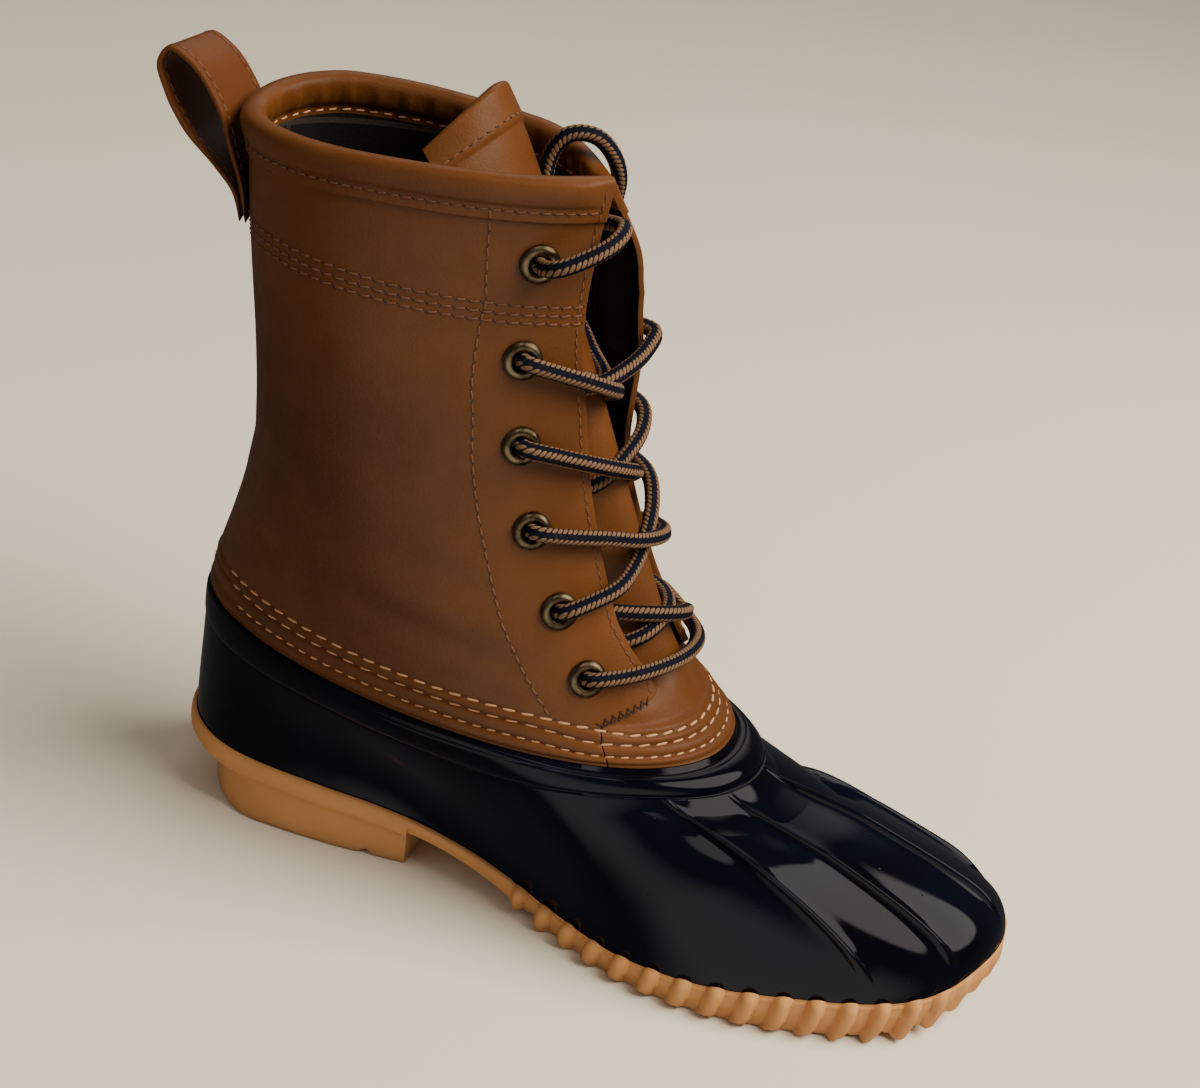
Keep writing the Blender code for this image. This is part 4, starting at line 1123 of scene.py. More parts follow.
    def _inside(self, columns: np.ndarray) -> list[np.ndarray]:
        """Loops of the lip behind the leather and of the inner side."""
        angles = self.rim_angles(columns)
        zero = np.zeros_like(angles)
        leather, normal = SHAFT.point(zero, angles), SHAFT.normal(zero, angles)
        down = unit(leather - SHAFT.point(zero + 0.1, angles))
        lip_at = np.full_like(angles, self.lip_level)
        lip, lip_normal = SHAFT.point(lip_at, angles), SHAFT.normal(lip_at, angles)
        seat = leather + down * 0.3
        outside = SHAFT.leather + self.lip_clear
        inside = outside + self.lip_wall
        loops = [seat, seat - normal * outside, lip - lip_normal * outside,
                 lip - lip_normal * inside, leather - normal * inside + down * self.wall]
        for share in (0.86, 0.75, 0.63, 0.5, 0.4, 0.3, 0.2, 0.1, 0.0):
            at = np.full_like(columns, share)
            inward = self.normal(columns, at)
            if share == 0.0:
                inward = unit(inward * np.array([1.0, 1.0, 0.0]))
            loops.append(self.profile(columns, at) - inward * self.wall)
        return loops


# ------------------------------------------------------------------ leather shaft
@dataclass
class BandRows:
    """The three rows of stitches round the shaft's foot, with puffed leather between them."""

    rows: tuple[tuple[tuple[float, float], ...], ...] = (
        ((-40.0, 0.78), (7.0, 0.78), (22.0, 0.92), (36.0, 1.00), (150.0, 1.00)),
        ((-40.0, 0.60), (10.0, 0.60), (24.0, 0.62), (37.0, 0.78), (150.0, 0.78)),
        ((-40.0, 0.34), (10.0, 0.33), (27.0, 0.32), (40.0, 0.44), (150.0, 0.44)))
    level_mm: float = 17.0
    groove: float = 0.35
    puff: float = 0.55

    def level(self, row: int, distance: np.ndarray) -> np.ndarray:
        """Level of a row at a distance from the flap's edge."""
        return soft_read(distance, self.rows[row], 4.0)

    def relief(self, level: float, distance: np.ndarray) -> np.ndarray:
        """Millimetres that the leather stands out: grooves at the rows and puffs between."""
        at = [self.level(row, distance) for row in range(len(self.rows))]
        high = np.zeros_like(np.asarray(distance, float))
        for place in at:
            high = high - self.groove * bump((level - place) * self.level_mm, 0.0, 0.8)
        for upper, lower in zip(at, at[1:]):
            share = np.clip((level - lower) / (upper - lower), 0.0, 1.0)
            high = high + self.puff * np.sin(math.pi * share) ** 0.7
        share = np.clip((level - 0.12) / (at[-1] - 0.12), 0.0, 1.0)
        return high + 1.3 * self.puff * np.sin(math.pi * share) ** 0.6


BAND = BandRows()

# How the inner flap's edge stands out from the form: level and millimetres.
INNER_FLARE = [(4.0, 0.0), (4.4, 2.0), (4.8, 5.0), (5.3, 8.5), (5.9, 9.0), (6.3, 6.5), (6.7, 3.0),
               (7.0, 0.0)]
INNER_CORNER = (-9.6, 0.0, -5.8)        # shift of the inner flap's top corner

# Edge of the quarter: level and distance from the flap's edge line; below level 1 it is the
# butt seam against the vamp, above it the flap's curved lower corner and then its front edge.
QUARTER_EDGE = [(0.0, 21.3), (0.3, 20.6), (0.6, 19.5), (0.8, 18.0), (0.98, 16.1), (1.16, 9.6),
                (1.30, 2.7), (1.40, -2.2), (1.44, -4.5), (1.50, -6.0), (1.60, -6.4), (1.82, -5.8),
                (2.20, -2.3), (2.60, 0.0), (7.0, 0.0)]

# Broad soft creases of the shaft: level, distance from the flap's edge, length along the
# crease and width across it in millimetres, slope in levels for each millimetre, height.
CREASES = [
    (2.05, 62.0, 30.0, 6.0, 0.006, -0.7),
    (2.55, 66.0, 34.0, 7.0, 0.004, 0.6),
    (3.10, 60.0, 30.0, 7.0, 0.008, -0.6),
    (4.40, 78.0, 26.0, 9.0, -0.004, -0.6),
    (2.30, 105.0, 22.0, 6.0, 0.000, -0.7),
    (3.60, 112.0, 26.0, 8.0, 0.003, -0.6),
    (5.10, 55.0, 30.0, 10.0, 0.006, 0.5),
    (6.50, 28.0, 9.0, 6.0, 0.000, -0.5),
]


@dataclass
class LeatherQuarters:
    """The shaft's two quarters, joined at the back, with flaps, eyelet holes and collar roll."""

    roll: float = 7.6                    # height of the padded roll at the top
    inner_roll: float = 8.6
    fold: float = 10.5                   # lower edge of the folded band that holds the roll
    fold_raise: float = 0.8
    roll_out: float = 1.6
    roll_in: float = 2.4
    edge_round: float = 0.9
    inner_round: float = 0.6
    gather: float = 0.8                  # height of the small folds under the roll
    hole_shade: float = 3.9                    # radius of the holes for the eyelets
    band_step: float = 0.035             # rows of points, in levels
    corner_step: float = 0.022
    corner: tuple[float, float] = (1.09, 1.66)
    middle: tuple[float, float] = (1.68, 6.66)
    row_mm: float = 1.4
    facing: float = 10.5                 # leather inside the collar, down to the lining
    below_top: tuple[float, ...] = (12.6, 12.0, 11.5, 11.2, 11.0, 10.85, 10.7, 10.55, 10.4, 10.2,
                                    9.8, 9.3, 8.8, 8.3, 7.9, 7.6, 7.3, 6.9, 6.4, 5.8, 5.2, 4.6)

    @staticmethod
    def start(level: Values) -> Values:
        """Distance from the flap's edge line where the quarter starts."""
        return soft_read(level, QUARTER_EDGE, 0.04)

    def levels(self) -> np.ndarray:
        """Rows: fine in the stitched band, round the corner and at the collar."""
        low = np.arange(0.0, self.corner[0], self.band_step)
        corner = np.arange(*self.corner, self.corner_step)
        middle = [self.middle[0]]
        while middle[-1] < self.middle[1]:
            middle.append(middle[-1] + self.row_mm / SHAFT.rise(middle[-1]))
        per_mm = 1.0 / SHAFT.rise(6.9)
        radius = self.radius()
        turned = radius * (1.0 - np.sin(np.linspace(0, math.pi / 2, 9)))
        below = np.concatenate([self.below_top, turned[turned < 4.3]])
        collar = SHAFT.top_level - below * per_mm
        middle = [level for level in middle if level < collar[0] - 0.02]
        return np.concatenate([low, corner, middle, collar])

    def radius(self) -> float:
        """Half of the thickness of the collar's roll."""
        return 0.5 * (SHAFT.leather + self.roll_out + self.roll_in)

    def offsets(self, level: float, distance: np.ndarray) -> tuple[np.ndarray, np.ndarray]:
        """How far the outer and the inner skin lie outside of the form."""
        below = SHAFT.below_top(level)
        pad = 0.10 + 0.90 * step_up(distance, 1.0, 10.0)

        def swell(height: float) -> float:
            """Thickness of a half-round roll of that height, 0 to 1."""
            share = min(below / height, 1.0)
            return 1.0 if share < 0.5 else math.sqrt(max(0.0, 1.0 - (2.0 * share - 1.0) ** 2))

        folded = self.fold_raise * (1.0 - step_up(below, self.fold - 0.1, self.fold + 0.3))
        out = folded + (self.roll_out - 0.4 * self.fold_raise) * swell(self.roll) * pad
        gathers = self.gather * np.sin(distance * 1.05) * np.sin(distance * 0.37 + 1.0)
        gathers = gathers * bump(below, 6.5, 3.0) * step_up(distance, 8, 20)
        into = SHAFT.leather + self.roll_in * swell(self.inner_roll) * pad + gathers
        if below < self.radius():
            half = 0.5 * (out + into)
            radius = np.maximum(half, 0.2)
            middle = 0.5 * (out - into)
            share = np.clip(1.0 - below / radius, 0.0, 1.0)
            half = np.maximum(half * np.sqrt(1.0 - share ** 2), 0.05)
            out, into = middle + half, half - middle
        edge = distance - self.start(level)
        rounded = 1.0 - np.sqrt(np.clip(1.0 - (1.0 - np.clip(edge / 0.9, 0, 1)) ** 2, 0, 1))
        return (out - self.edge_round * rounded + self.surface(level, distance),
                -(into - self.inner_round * rounded))

    @staticmethod
    def bend(level: float, distance: Values, normal: np.ndarray) -> np.ndarray:
        """Move points of the inner flap: its edge turns out and its top corner droops."""
        flare = np.interp(level, *zip(*INNER_FLARE)) * (1.0 - step_up(distance, -2.0, 11.0))
        droop = step_up(level, 6.1, 7.0) * (1.0 - step_up(distance, -2.0, 46.0))
        return normal * flare[..., None] + np.array(INNER_CORNER) * droop[..., None]

    @staticmethod
    def surface(level: float, distance: np.ndarray) -> np.ndarray:
        """Height of the stitched band's puffs and of the broad creases."""
        high = BAND.relief(level, distance)
        for at_level, at, length, width, slope, height in CREASES:
            mm = SHAFT.rise(at_level)
            off = (level - at_level - slope * (distance - at)) * mm
            high = high + height * bump(distance, at, length) * bump(off, 0.0, width)
        return high

    def row(self, level: float) -> tuple[np.ndarray, np.ndarray]:
        """Angles and signed distances of one row, from the outer flap round to the inner."""
        start = self.start(level)
        girth = SHAFT.half_girth(level)
        near = np.array([0.0, 0.15, 0.4, 0.75, 1.2, 2.0])
        far_from = np.linspace(start + 3.2, 34.0, 27)
        rest = np.linspace(34.0, girth, 62)[1:]
        distances = np.concatenate([start + near, far_from, rest])
        angles = SHAFT.angle_at(level, distances)
        both = np.concatenate([angles, 2 * math.pi - angles[-2::-1]])
        return both, np.concatenate([distances, distances[-2::-1]])

    def build(self, leather: bpy.types.Material, lining: bpy.types.Material) -> bpy.types.Object:
        """Build and dress the quarters."""
        levels = self.levels()
        outer, inner, uvs = [], [], []
        for level in levels.tolist():
            angles, distances = self.row(level)
            at = np.full_like(angles, level)
            base, normal = SHAFT.point(at, angles), SHAFT.normal(at, angles)
            out, into = self.offsets(level, distances)
            inner_side = (angles > math.pi)[:, None]
            moved = base + np.where(inner_side, self.bend(level, distances, normal), 0.0)
            outer.append(moved + normal * out[:, None])
            inner.append(moved + normal * into[:, None])
            across = np.where(angles < math.pi, distances, 400.0 - distances)
            uvs.append(np.stack([across, base[:, 2]], axis=-1))
        outer_grid, inner_grid = np.array(outer), np.array(inner)
        middle = 0.25 * (outer_grid[:-1, :-1] + outer_grid[1:, :-1] + outer_grid[:-1, 1:]
                         + outer_grid[1:, 1:])
        keep = np.ones(middle.shape[:2], bool)
        for level, _ in EYELETS:
            for side in Side:
                centre = SHAFT.eyelet_frame(level, side)[0]
                keep &= np.linalg.norm(middle - centre, axis=-1) > self.hole_shade
        body = wall(outer_grid, inner_grid, keep, np.array(uvs), (0, 1, 0))
        self._face_inside(body, levels, keep)
        piece = body.finish("quarters_leather", [leather, lining], 50)
        return place_piece(piece, "brown_leather", "leather_shaft")

    def _face_inside(self, body: Body, levels: np.ndarray, keep: np.ndarray) -> None:
        """Give the inner skin's top rows the leather instead of the lining."""
        kept = int(keep.sum())
        row_of = np.repeat(np.arange(keep.shape[0]), keep.shape[1])[keep.reshape(-1)]
        below = SHAFT.below_top(levels)
        for k, row in enumerate(row_of):
            if below[row] < self.facing:
                body.slots[kept + k] = 0


# ------------------------------------------------------------------ tongue and vamp
class TongueRow(NamedTuple):
    """A row of the tongue: middle, half width, setback and drop of its edges."""

    x: float
    z: float
    half: float
    bend: float
    arch: float


TONGUE = [TongueRow(*row) for row in (
    (168.5, 78.2, 18, 9.0, 0.0),
    (165.6, 83.0, 18, 14.0, 0.0),
    (158.4, 93.6, 18, 22.0, 0.0),
    (152.2, 104.5, 18, 26.0, 0.0),
    (145.3, 118.5, 18, 27.0, 0.0),
    (138.2, 133.0, 18, 26.0, 0.0),
    (131.0, 148.0, 19, 24.0, 0.0),
    (124.2, 162.0, 20, 20.0, 0.0),
    (116.6, 176.0, 22, 15.0, 0.0),
    (106.3, 197.0, 24, 10.5, 1.0),
    (95.5, 218.0, 26, 9.0, 5.0),
    (86.0, 237.0, 26.5, 11.0, 11.0),
    (78.5, 249.5, 23.0, 11.5, 16.5),
)]


@dataclass
class VampAndTongue:
    """Leather of the vamp under the flaps, going on upwards as the tongue."""

    thick: float = 2.6
    recess: float = 1.3                  # of the vamp under the flaps
    band: float = 12.0                   # folded band at the tongue's top
    band_raise: float = 0.8
    edge_round: float = 1.6
    across: int = 81                     # points from side to side
    level_step: float = 0.035            # rows of the vamp, in levels
    row_mm: float = 1.6                  # rows of the tongue
    sewn_at: float = 2.1                 # row of stitches over the fold's lower edge
    edge: tuple[tuple[float, float], ...] = ((0.0, 21.1), (0.3, 20.4), (0.6, 19.3), (0.8, 17.8),
                                             (0.98, 16.0), (1.16, 13.0), (1.32, 7.0))
    tongue_rows: tuple[float, ...] = (1.45, 2, 3, 4, 5, 6, 7, 8, 9, 10, 10.5, 11, 11.4, 11.7, 12)
    top_steps: tuple[float, ...] = (16, 15, 14.2, 13.8, 13.4, 13.1, 12.9, 12.6, 12, 2, 1.2, 0.6,
                                    0.2, 0.0)
    sewn_line: tuple[np.ndarray, np.ndarray] = field(init=False)

    def tongue_row(self, row_at: float, aside: np.ndarray) -> np.ndarray:
        """Points of the tongue's front; aside runs from -1 to 1."""
        x, z, half, bend, arch = smooth(TONGUE, row_at)
        return np.stack([x - bend * aside ** 2, half * aside, z - arch * aside ** 2], axis=-1)

    def vamp_row(self, level: float, aside: np.ndarray) -> np.ndarray:
        """Points of the vamp; aside -1 is the outer seam and 1 the inner one."""
        seam = float(np.interp(level, *zip(*self.edge)))
        edge = float(SHAFT.angle_at(level, seam))
        angles = -aside * edge
        at = np.full_like(angles, level)
        points = SHAFT.point(at, angles)
        run = run_along(points)
        distance = seam - np.minimum(run, run[-1] - run)
        sunk = self.recess * step_up(level, 0.86, 1.02)
        high = BAND.relief(level, distance) - sunk
        return points + SHAFT.normal(at, angles) * high[:, None]

    def build(self, finish: bpy.types.Material) -> bpy.types.Object:
        """Build and dress the vamp and tongue."""
        aside = np.linspace(-1, 1, self.across)
        low = list(np.arange(0.0, 1.06, self.level_step))
        controls = [self.vamp_row(level, aside) for level in low + [1.14, 1.24]]
        controls += [self.tongue_row(row, aside) for row in self.tongue_rows]
        controls = np.array(controls)
        middle = controls[:, len(aside) // 2]
        run = run_along(middle)
        start = run[:len(low)]
        steps = np.arange(start[-1] + 0.5 * self.row_mm, run[-1], self.row_mm)
        at = np.unique(np.concatenate([start, steps, run[-1] - np.array(self.top_steps)]))
        outer = read_between(controls, run, at)
        up = np.gradient(outer, axis=0)
        wide = np.gradient(outer, axis=1)
        normal = unit(np.cross(wide, up))
        from_top = run[-1] - at
        folded = (1.0 - step_up(from_top, self.band - 0.4, self.band + 0.2))
        rounded = 1.0 - np.sqrt(np.clip(1.0 - (1.0 - np.clip(from_top / 1.4, 0, 1)) ** 2, 0, 1))
        out = self.band_raise * folded - self.edge_round * rounded
        inner = outer - normal * (self.thick + 0.4 * folded - 1.2 * rounded)[:, None, None]
        outer = outer + normal * out[:, None, None]
        body = wall(outer, inner)
        sewn = int(np.argmin(np.abs(from_top - self.band + self.sewn_at)))
        self.sewn_line = (outer[sewn, 2:-2], normal[sewn, 2:-2])
        piece = body.finish("tongue_leather", [finish], 50)
        return place_piece(piece, "brown_leather", "tongue")


# ------------------------------------------------------------------ pull loop
LOOP = [(11.6, 198.0), (9.8, 205.0), (4.0, 212.0), (-5.0, 220.5), (-11.5, 230.0), (-14.0, 238.0),
        (-11.5, 241.8), (-4.5, 239.5), (2.5, 232.5), (7.0, 225.0), (9.4, 217.0), (12.0, 205.0),
        (13.5, 198.0)]


@dataclass
class PullLoop:
    """Folded leather strap sewn on the back of the collar."""

    width: float = 25.0
    middle: float = -9.5
    thick: float = 1.6
    wrap: float = 34.0
    free: float = 222.0

    def middle_sheet(self, asides: np.ndarray, count: int
                     ) -> tuple[np.ndarray, np.ndarray, np.ndarray]:
        """Read the middle of the strap.

        Args:
            asides: distances across from the strap's middle line.
            count: how many rows along the strap.

        Returns:
            Points, half thicknesses and directions through the strap, rows by asides.
        """
        line = route(LOOP, count)
        along = unit(np.gradient(line, axis=0))
        edge = 0.5 * self.width - np.abs(asides)
        thin = np.sqrt(np.clip(1 - (1 - np.clip(edge / 0.5, 0.1, 1)) ** 2, 0, 1))
        ends = np.minimum(np.arange(count), np.arange(count)[::-1]) / 6.0
        taper = 0.35 + 0.65 * step_up(ends, 0.0, 1.0)
        half = 0.5 * self.thick * thin[None, :] * taper[:, None]
        loose = 1.0 - step_up(line[:, 1], self.free - 16, self.free)
        x = line[:, 0:1] + asides[None, :] ** 2 / (2 * self.wrap) * loose[:, None]
        mid = np.stack([x, np.broadcast_to(self.middle + asides, x.shape),
                        np.broadcast_to(line[:, 1:2], x.shape)], axis=-1)
        push = np.stack([along[:, 1], np.zeros(count), -along[:, 0]], axis=-1)
        push = np.broadcast_to(push[:, None, :], mid.shape)
        return mid, half[..., None], push

    def build(self, finish: bpy.types.Material, cut: bpy.types.Material) -> bpy.types.Object:
        """Build and dress the strap; its long edges show the cut leather."""
        asides = np.concatenate([[-0.5, -0.492, -0.475], np.linspace(-0.45, 0.45, 19),
                                 [0.475, 0.492, 0.5]]) * self.width
        mid, half, push = self.middle_sheet(asides, 90)
        shift = push * half
        body = wall(mid + shift, mid - shift, None, None, (0, 0, 1))
        piece = body.finish("pull_loop_leather", [finish, cut], 50)
        return place_piece(piece, "brown_leather", "pull_loop")


# ------------------------------------------------------------------ eyelets
@dataclass
class Eyelets:
    """Twelve brass eyelets with rolled flanges."""

    around: int = 40
    profile: tuple[tuple[float, float], ...] = (
        (2.85, -3.3), (2.85, 1.1), (2.95, 1.5), (3.25, 1.8), (3.8, 1.95), (4.4, 1.88),
        (5.0, 1.6), (5.5, 1.15), (5.75, 0.75), (5.8, 0.45), (5.7, 0.2), (5.3, 0.08), (3.15, 0.05),
        (3.15, -3.3))

    def build(self, finish: bpy.types.Material) -> bpy.types.Object:
        """Build and dress the eyelets."""
        body = Body()
        nodes = []
        turn = np.linspace(0, 2 * math.pi, self.around, endpoint=False)
        for number, (level, _) in enumerate(EYELETS, start=1):
            for side, name in ((Side.OUTER, "outer"), (Side.INNER, "inner")):
                centre, right, up, outward = SHAFT.eyelet_frame(level, side)
                spokes = np.cos(turn)[:, None] * right + np.sin(turn)[:, None] * up
                loops = [centre + radius * spokes + height * outward
                         for radius, height in self.profile + self.profile[:1]]
                first = body.add_points(np.array(loops))
                body.add_faces(grid_faces(len(loops), self.around, True, first)[:, ::-1])
                nodes.append(f"eyelet_{name}_{number}")
        piece = body.finish("eyelets_brass", [finish], 50)
        return place_piece(piece, "antique_brass", *nodes)


# ------------------------------------------------------------------ lace
class LacePoint(NamedTuple):
    """A place of a strand; side 1 is where the leg starts, -1 the other flap, 0 the middle."""

    side: int
    level: float
    distance: float
    height: float


# Legs of the lace between one eyelet and the next on the other flap, by their number and by
# the side where they start: a leg that starts on the outer side lies over the other one.
LACE_LEGS = {key: [LacePoint(*row) for row in rows] for key, rows in {
    (1, Side.OUTER): (
        (1, 5.98, 13.0, -6.6), (1, 5.56, 7.0, -6.8), (1, 5.34, -3.0, -6.6),
        (0, 5.20, 0.0, -5.6), (-1, 5.18, -6.0, -6.4), (-1, 5.26, 5.0, -7.2),
        (-1, 5.44, 14.0, -6.6)),
    (1, Side.INNER): (
        (1, 5.98, 18.0, -6.6), (1, 5.50, 16.0, -7.6), (1, 5.26, 6.0, -9.0),
        (1, 5.20, -4.0, -10.0), (0, 5.16, 0.0, -10.4), (-1, 5.18, -6.0, -9.4),
        (-1, 5.28, 4.0, -7.4), (-1, 5.46, 13.0, -6.6)),
    (2, Side.OUTER): (
        (1, 5.52, 12.0, 3.4), (1, 5.36, -0.5, 3.9), (1, 5.27, -6.0, 3.2), (1, 5.20, -11.0, 1.4),
        (0, 5.10, 0.0, -2.6), (-1, 5.00, -10.0, -5.2), (-1, 4.90, -1.5, -6.3),
        (-1, 4.80, 11.0, -6.2)),
    (2, Side.INNER): (
        (1, 5.54, 12.0, 3.4), (1, 5.50, 5.0, 6.6), (1, 5.46, 0.0, 11.4), (1, 5.40, -5.0, 7.6),
        (0, 5.33, 0.0, 0.8), (-1, 5.27, -7.0, -2.2), (-1, 5.24, -0.5, -5.9),
        (-1, 5.00, 10.0, -6.2)),
    (3, Side.OUTER): (
        (1, 4.68, 14.0, 3.4), (1, 4.50, -0.5, 3.9), (1, 4.38, -8.0, 3.6), (0, 4.20, 0.0, 2.0),
        (-1, 4.08, -12.5, -1.0), (-1, 3.99, -8.5, -4.6), (-1, 3.93, 2.0, -5.9),
        (-1, 3.86, 11.0, -6.2)),
    (3, Side.INNER): (
        (1, 4.68, 14.0, 3.4), (1, 4.58, 1.0, 6.4), (1, 4.50, -5.0, 4.4), (0, 4.36, 0.0, -1.2),
        (-1, 4.22, -8.0, -3.4), (-1, 4.14, -0.5, -5.9), (-1, 3.94, 10.0, -6.2)),
    (4, Side.OUTER): (
        (1, 3.73, 12.0, 3.4), (1, 3.65, -0.5, 4.0), (1, 3.55, -8.0, 5.4), (0, 3.40, 0.0, 6.0),
        (-1, 3.24, -8.0, 4.8), (-1, 3.15, -0.5, 3.3), (-1, 2.98, 10.0, 3.5)),
    (4, Side.INNER): (
        (1, 3.84, 12.0, 3.5), (1, 3.78, -0.5, 4.8), (1, 3.66, -8.0, 3.6), (0, 3.42, 0.0, 2.0),
        (-1, 3.18, -8.0, 2.4), (-1, 3.05, -0.5, 3.8), (-1, 2.92, 10.0, 3.5)),
    (5, Side.OUTER): (
        (1, 2.76, 9.0, -6.3), (1, 2.72, -0.5, -5.9), (1, 2.65, -7.0, -2.0),
        (1, 2.56, -12.5, 1.6), (0, 2.36, 0.0, 5.2), (-1, 2.14, -10.5, 3.0),
        (-1, 2.05, -6.5, -0.6), (-1, 1.98, -1.8, -3.4), (-1, 1.94, 3.0, -6.1),
        (-1, 1.88, 9.0, -6.2)),
    (5, Side.INNER): (
        (1, 2.70, 9.0, -6.3), (1, 2.58, -0.5, -5.9), (1, 2.50, -7.5, -2.0), (0, 2.42, 0.0, 1.6),
        (-1, 2.31, -7.5, -2.0), (-1, 2.26, -0.5, -5.9), (-1, 2.02, 8.0, -6.3)),
}.items()}
LACE_BAR = [LacePoint(*row) for row in (
    (1, 1.88, 8.0, 3.6), (1, 1.90, -4.0, 4.4), (0, 1.80, 0.0, 4.2), (-1, 1.64, -5.0, 3.4),
    (-1, 1.62, 2.5, 3.4), (-1, 1.72, 9.0, 3.6))]


@dataclass
class Lace:
    """One braided cord through the eyelets, and its two ends over the collar."""

    radius: float = 2.4
    around: int = 32
    pairs: int = 4
    stitch: float = 1.6
    spacing: float = 0.46
    plump: float = 0.28                  # height of the stitches
    slack: float = 2.0                   # bends are rounded over this length
    way: tuple[float, ...] = (-6.0, -1.0, 2.8)   # heights on the way out through an eyelet
    inwards: int = 5                     # the eyelets where the lace goes in again
    finish: LaceFinish = LaceFinish()

    def stitches(self, run: np.ndarray, pair: np.ndarray) -> np.ndarray:
        """Height of the plump stitches, 0 to 1, in the same pattern as the finish."""
        form = self.finish
        across = (pair % 1.0 - 0.5) / (0.5 * form.tan_share)
        length = ((run / self.stitch + form.slant * across) % 1.0 - 0.5) * form.length
        far = np.abs(across) ** form.power + np.abs(length) ** form.power
        return np.sqrt(np.clip(1.1 - far, 0.0, 1.0))

    def tube(self, line: np.ndarray) -> Body:
        """Sweep the cord along a line with a frame that does not twist."""
        along = unit(np.gradient(line, axis=0))
        side = unit(np.cross(along[0], np.array([0.3, 0.2, 1.0])))
        sides = []
        for direction in along:
            side = unit(side - direction * (side @ direction))
            sides.append(side)
        across = np.array(sides)
        over = np.cross(along, across)
        turn = np.linspace(0, 2 * math.pi, self.around, endpoint=False)
        run = run_along(line)
        pair = np.arange(self.around) * self.pairs / self.around
        plump = self.radius + self.plump * (self.stitches(run[:, None], pair[None, :]) - 0.5)
        ring = np.cos(turn)[None, :, None] * across[:, None, :] \
            + np.sin(turn)[None, :, None] * over[:, None, :]
        points = line[:, None, :] + ring * plump[:, :, None]
        uv = np.stack(np.broadcast_arrays(run[:, None] / self.stitch, pair[None, :]), axis=-1)
        body = Body()
        body.add_points(points, uv)
        body.add_faces(grid_faces(len(line), self.around, closed=True))
        last = self.around * (len(line) - 1)
        body.add_faces([tuple(reversed(range(self.around))),
                        tuple(range(last, last + self.around))])
        return body

    def through(self, side: Side, number: int, outwards: bool) -> list[np.ndarray]:
        """Places on the way through one eyelet."""
        centre, _, _, outward = SHAFT.eyelet_frame(EYELETS[number - 1][0], side)
        return [centre + outward * height for height in self.way[::1 if outwards else -1]]

    @staticmethod
    def places(points: Sequence[LacePoint], start: Side) -> list[np.ndarray]:
        """Places of one leg that starts on the given side."""
        made = []
        for point in points:
            if point.side == 0:
                made.append(SHAFT.point(point.level, 0.0)
                            + SHAFT.normal(point.level, 0.0) * point.height)
            else:
                side = start if point.side > 0 else start.other
                made.append(SHAFT.place(side, point.level, point.distance, point.height))
        return made

    def half_path(self, first: Side) -> list[np.ndarray]:
        """Places of one half, from its top eyelet down to its lowest one."""
        path = self.through(first, 1, False)
        side = first
        for number in range(1, len(EYELETS)):
            path += self.places(LACE_LEGS[number, side], side)
            side = side.other
            path += self.through(side, number + 1, number + 1 != self.inwards)
        return path

    def laced_line(self) -> np.ndarray:
        """Even points along the whole laced part, from the inner top eyelet to the outer one."""
        start = self.half_path(Side.INNER)
        end = self.half_path(Side.OUTER)
        places = np.array(start + self.places(LACE_BAR, Side.OUTER) + end[::-1])
        return self.rounded(places)

    def rounded(self, places: np.ndarray) -> np.ndarray:
        """Round the bends of a path and read it at even steps."""
        length = np.linalg.norm(np.diff(places, axis=0), axis=1).sum()
        line = route(places, int(length / self.spacing))
        reach = int(3 * self.slack / self.spacing)
        weight = np.exp(-0.5 * (np.arange(-reach, reach + 1) * self.spacing / self.slack) ** 2)
        weight = weight / weight.sum()
        before = 2 * line[0] - line[reach:0:-1]
        after = 2 * line[-1] - line[-2:-reach - 2:-1]
        padded = np.vstack([before, line, after])
        soft = np.column_stack([np.convolve(padded[:, k], weight, "valid") for k in range(3)])
        return route(soft, len(soft))

    def build(self) -> None:
        """Build and dress the lace and its ends."""
        finish = self.finish.make()
        laced = self._closed(self.tube(self.laced_line()), "lace_braided", finish)
        place_piece(laced, "lace_cord", "lace_bar", *(f"lace_cross_{k}" for k in range(1, 6)))
        for side, rest in LACE_ENDS.items():
            name = f"lace_end_{side.name.lower()}"
            line = self.rounded(np.array(self.through(side, 1, True)[1:] + rest))
            end = self._closed(self.tube(line), f"{name}_braided", finish)
            place_piece(end, "lace_cord", name)

    def _closed(self, body: Body, name: str, finish: bpy.types.Material) -> bpy.types.Object:
        """Finish a tube and let the numbers of the pairs run on over its seam."""
        piece = body.finish(name, [finish], 80)
        layer = piece.data.uv_layers["UVMap"]
        values = np.zeros(2 * len(layer.data), np.float32)
        layer.data.foreach_get("uv", values)
        uv = values.reshape(-1, 2)
        corners = 4 * (len(piece.data.polygons) - 2)
        pair = uv[:corners, 1].reshape(-1, 4)
        wide = pair.max(axis=1) - pair.min(axis=1) > 0.5 * self.pairs
        pair[wide] = np.where(pair[wide] < 0.5, pair[wide] + self.pairs, pair[wide])
        uv[:corners, 1] = pair.reshape(-1)
        layer.data.foreach_set("uv", uv.ravel())
        return piece


LACE_ENDS = {
    Side.OUTER: [(112.6, -33.2, 213.4), (119.5, -28.5, 217.0), (124.3, -21.0, 220.5),
                 (123.5, -12.0, 222.5), (117.0, -8.0, 221.0)],
    Side.INNER: [(107.5, 34.0, 213.5), (108.6, 31.0, 220.5), (107.0, 26.6, 228.6),
                 (101.6, 21.8, 234.8), (94.6, 18.4, 234.2), (90.8, 16.8, 228.0),
                 (90.4, 16.0, 220.0)],
}


# ------------------------------------------------------------------ stitches
class Thread(Enum):
    """Material slots of the stitches."""

    BAND = 0
    SEAM = 1
    DARK = 2
    # slot of the needle holes' painted shade
    HOLE_SHADE = 3


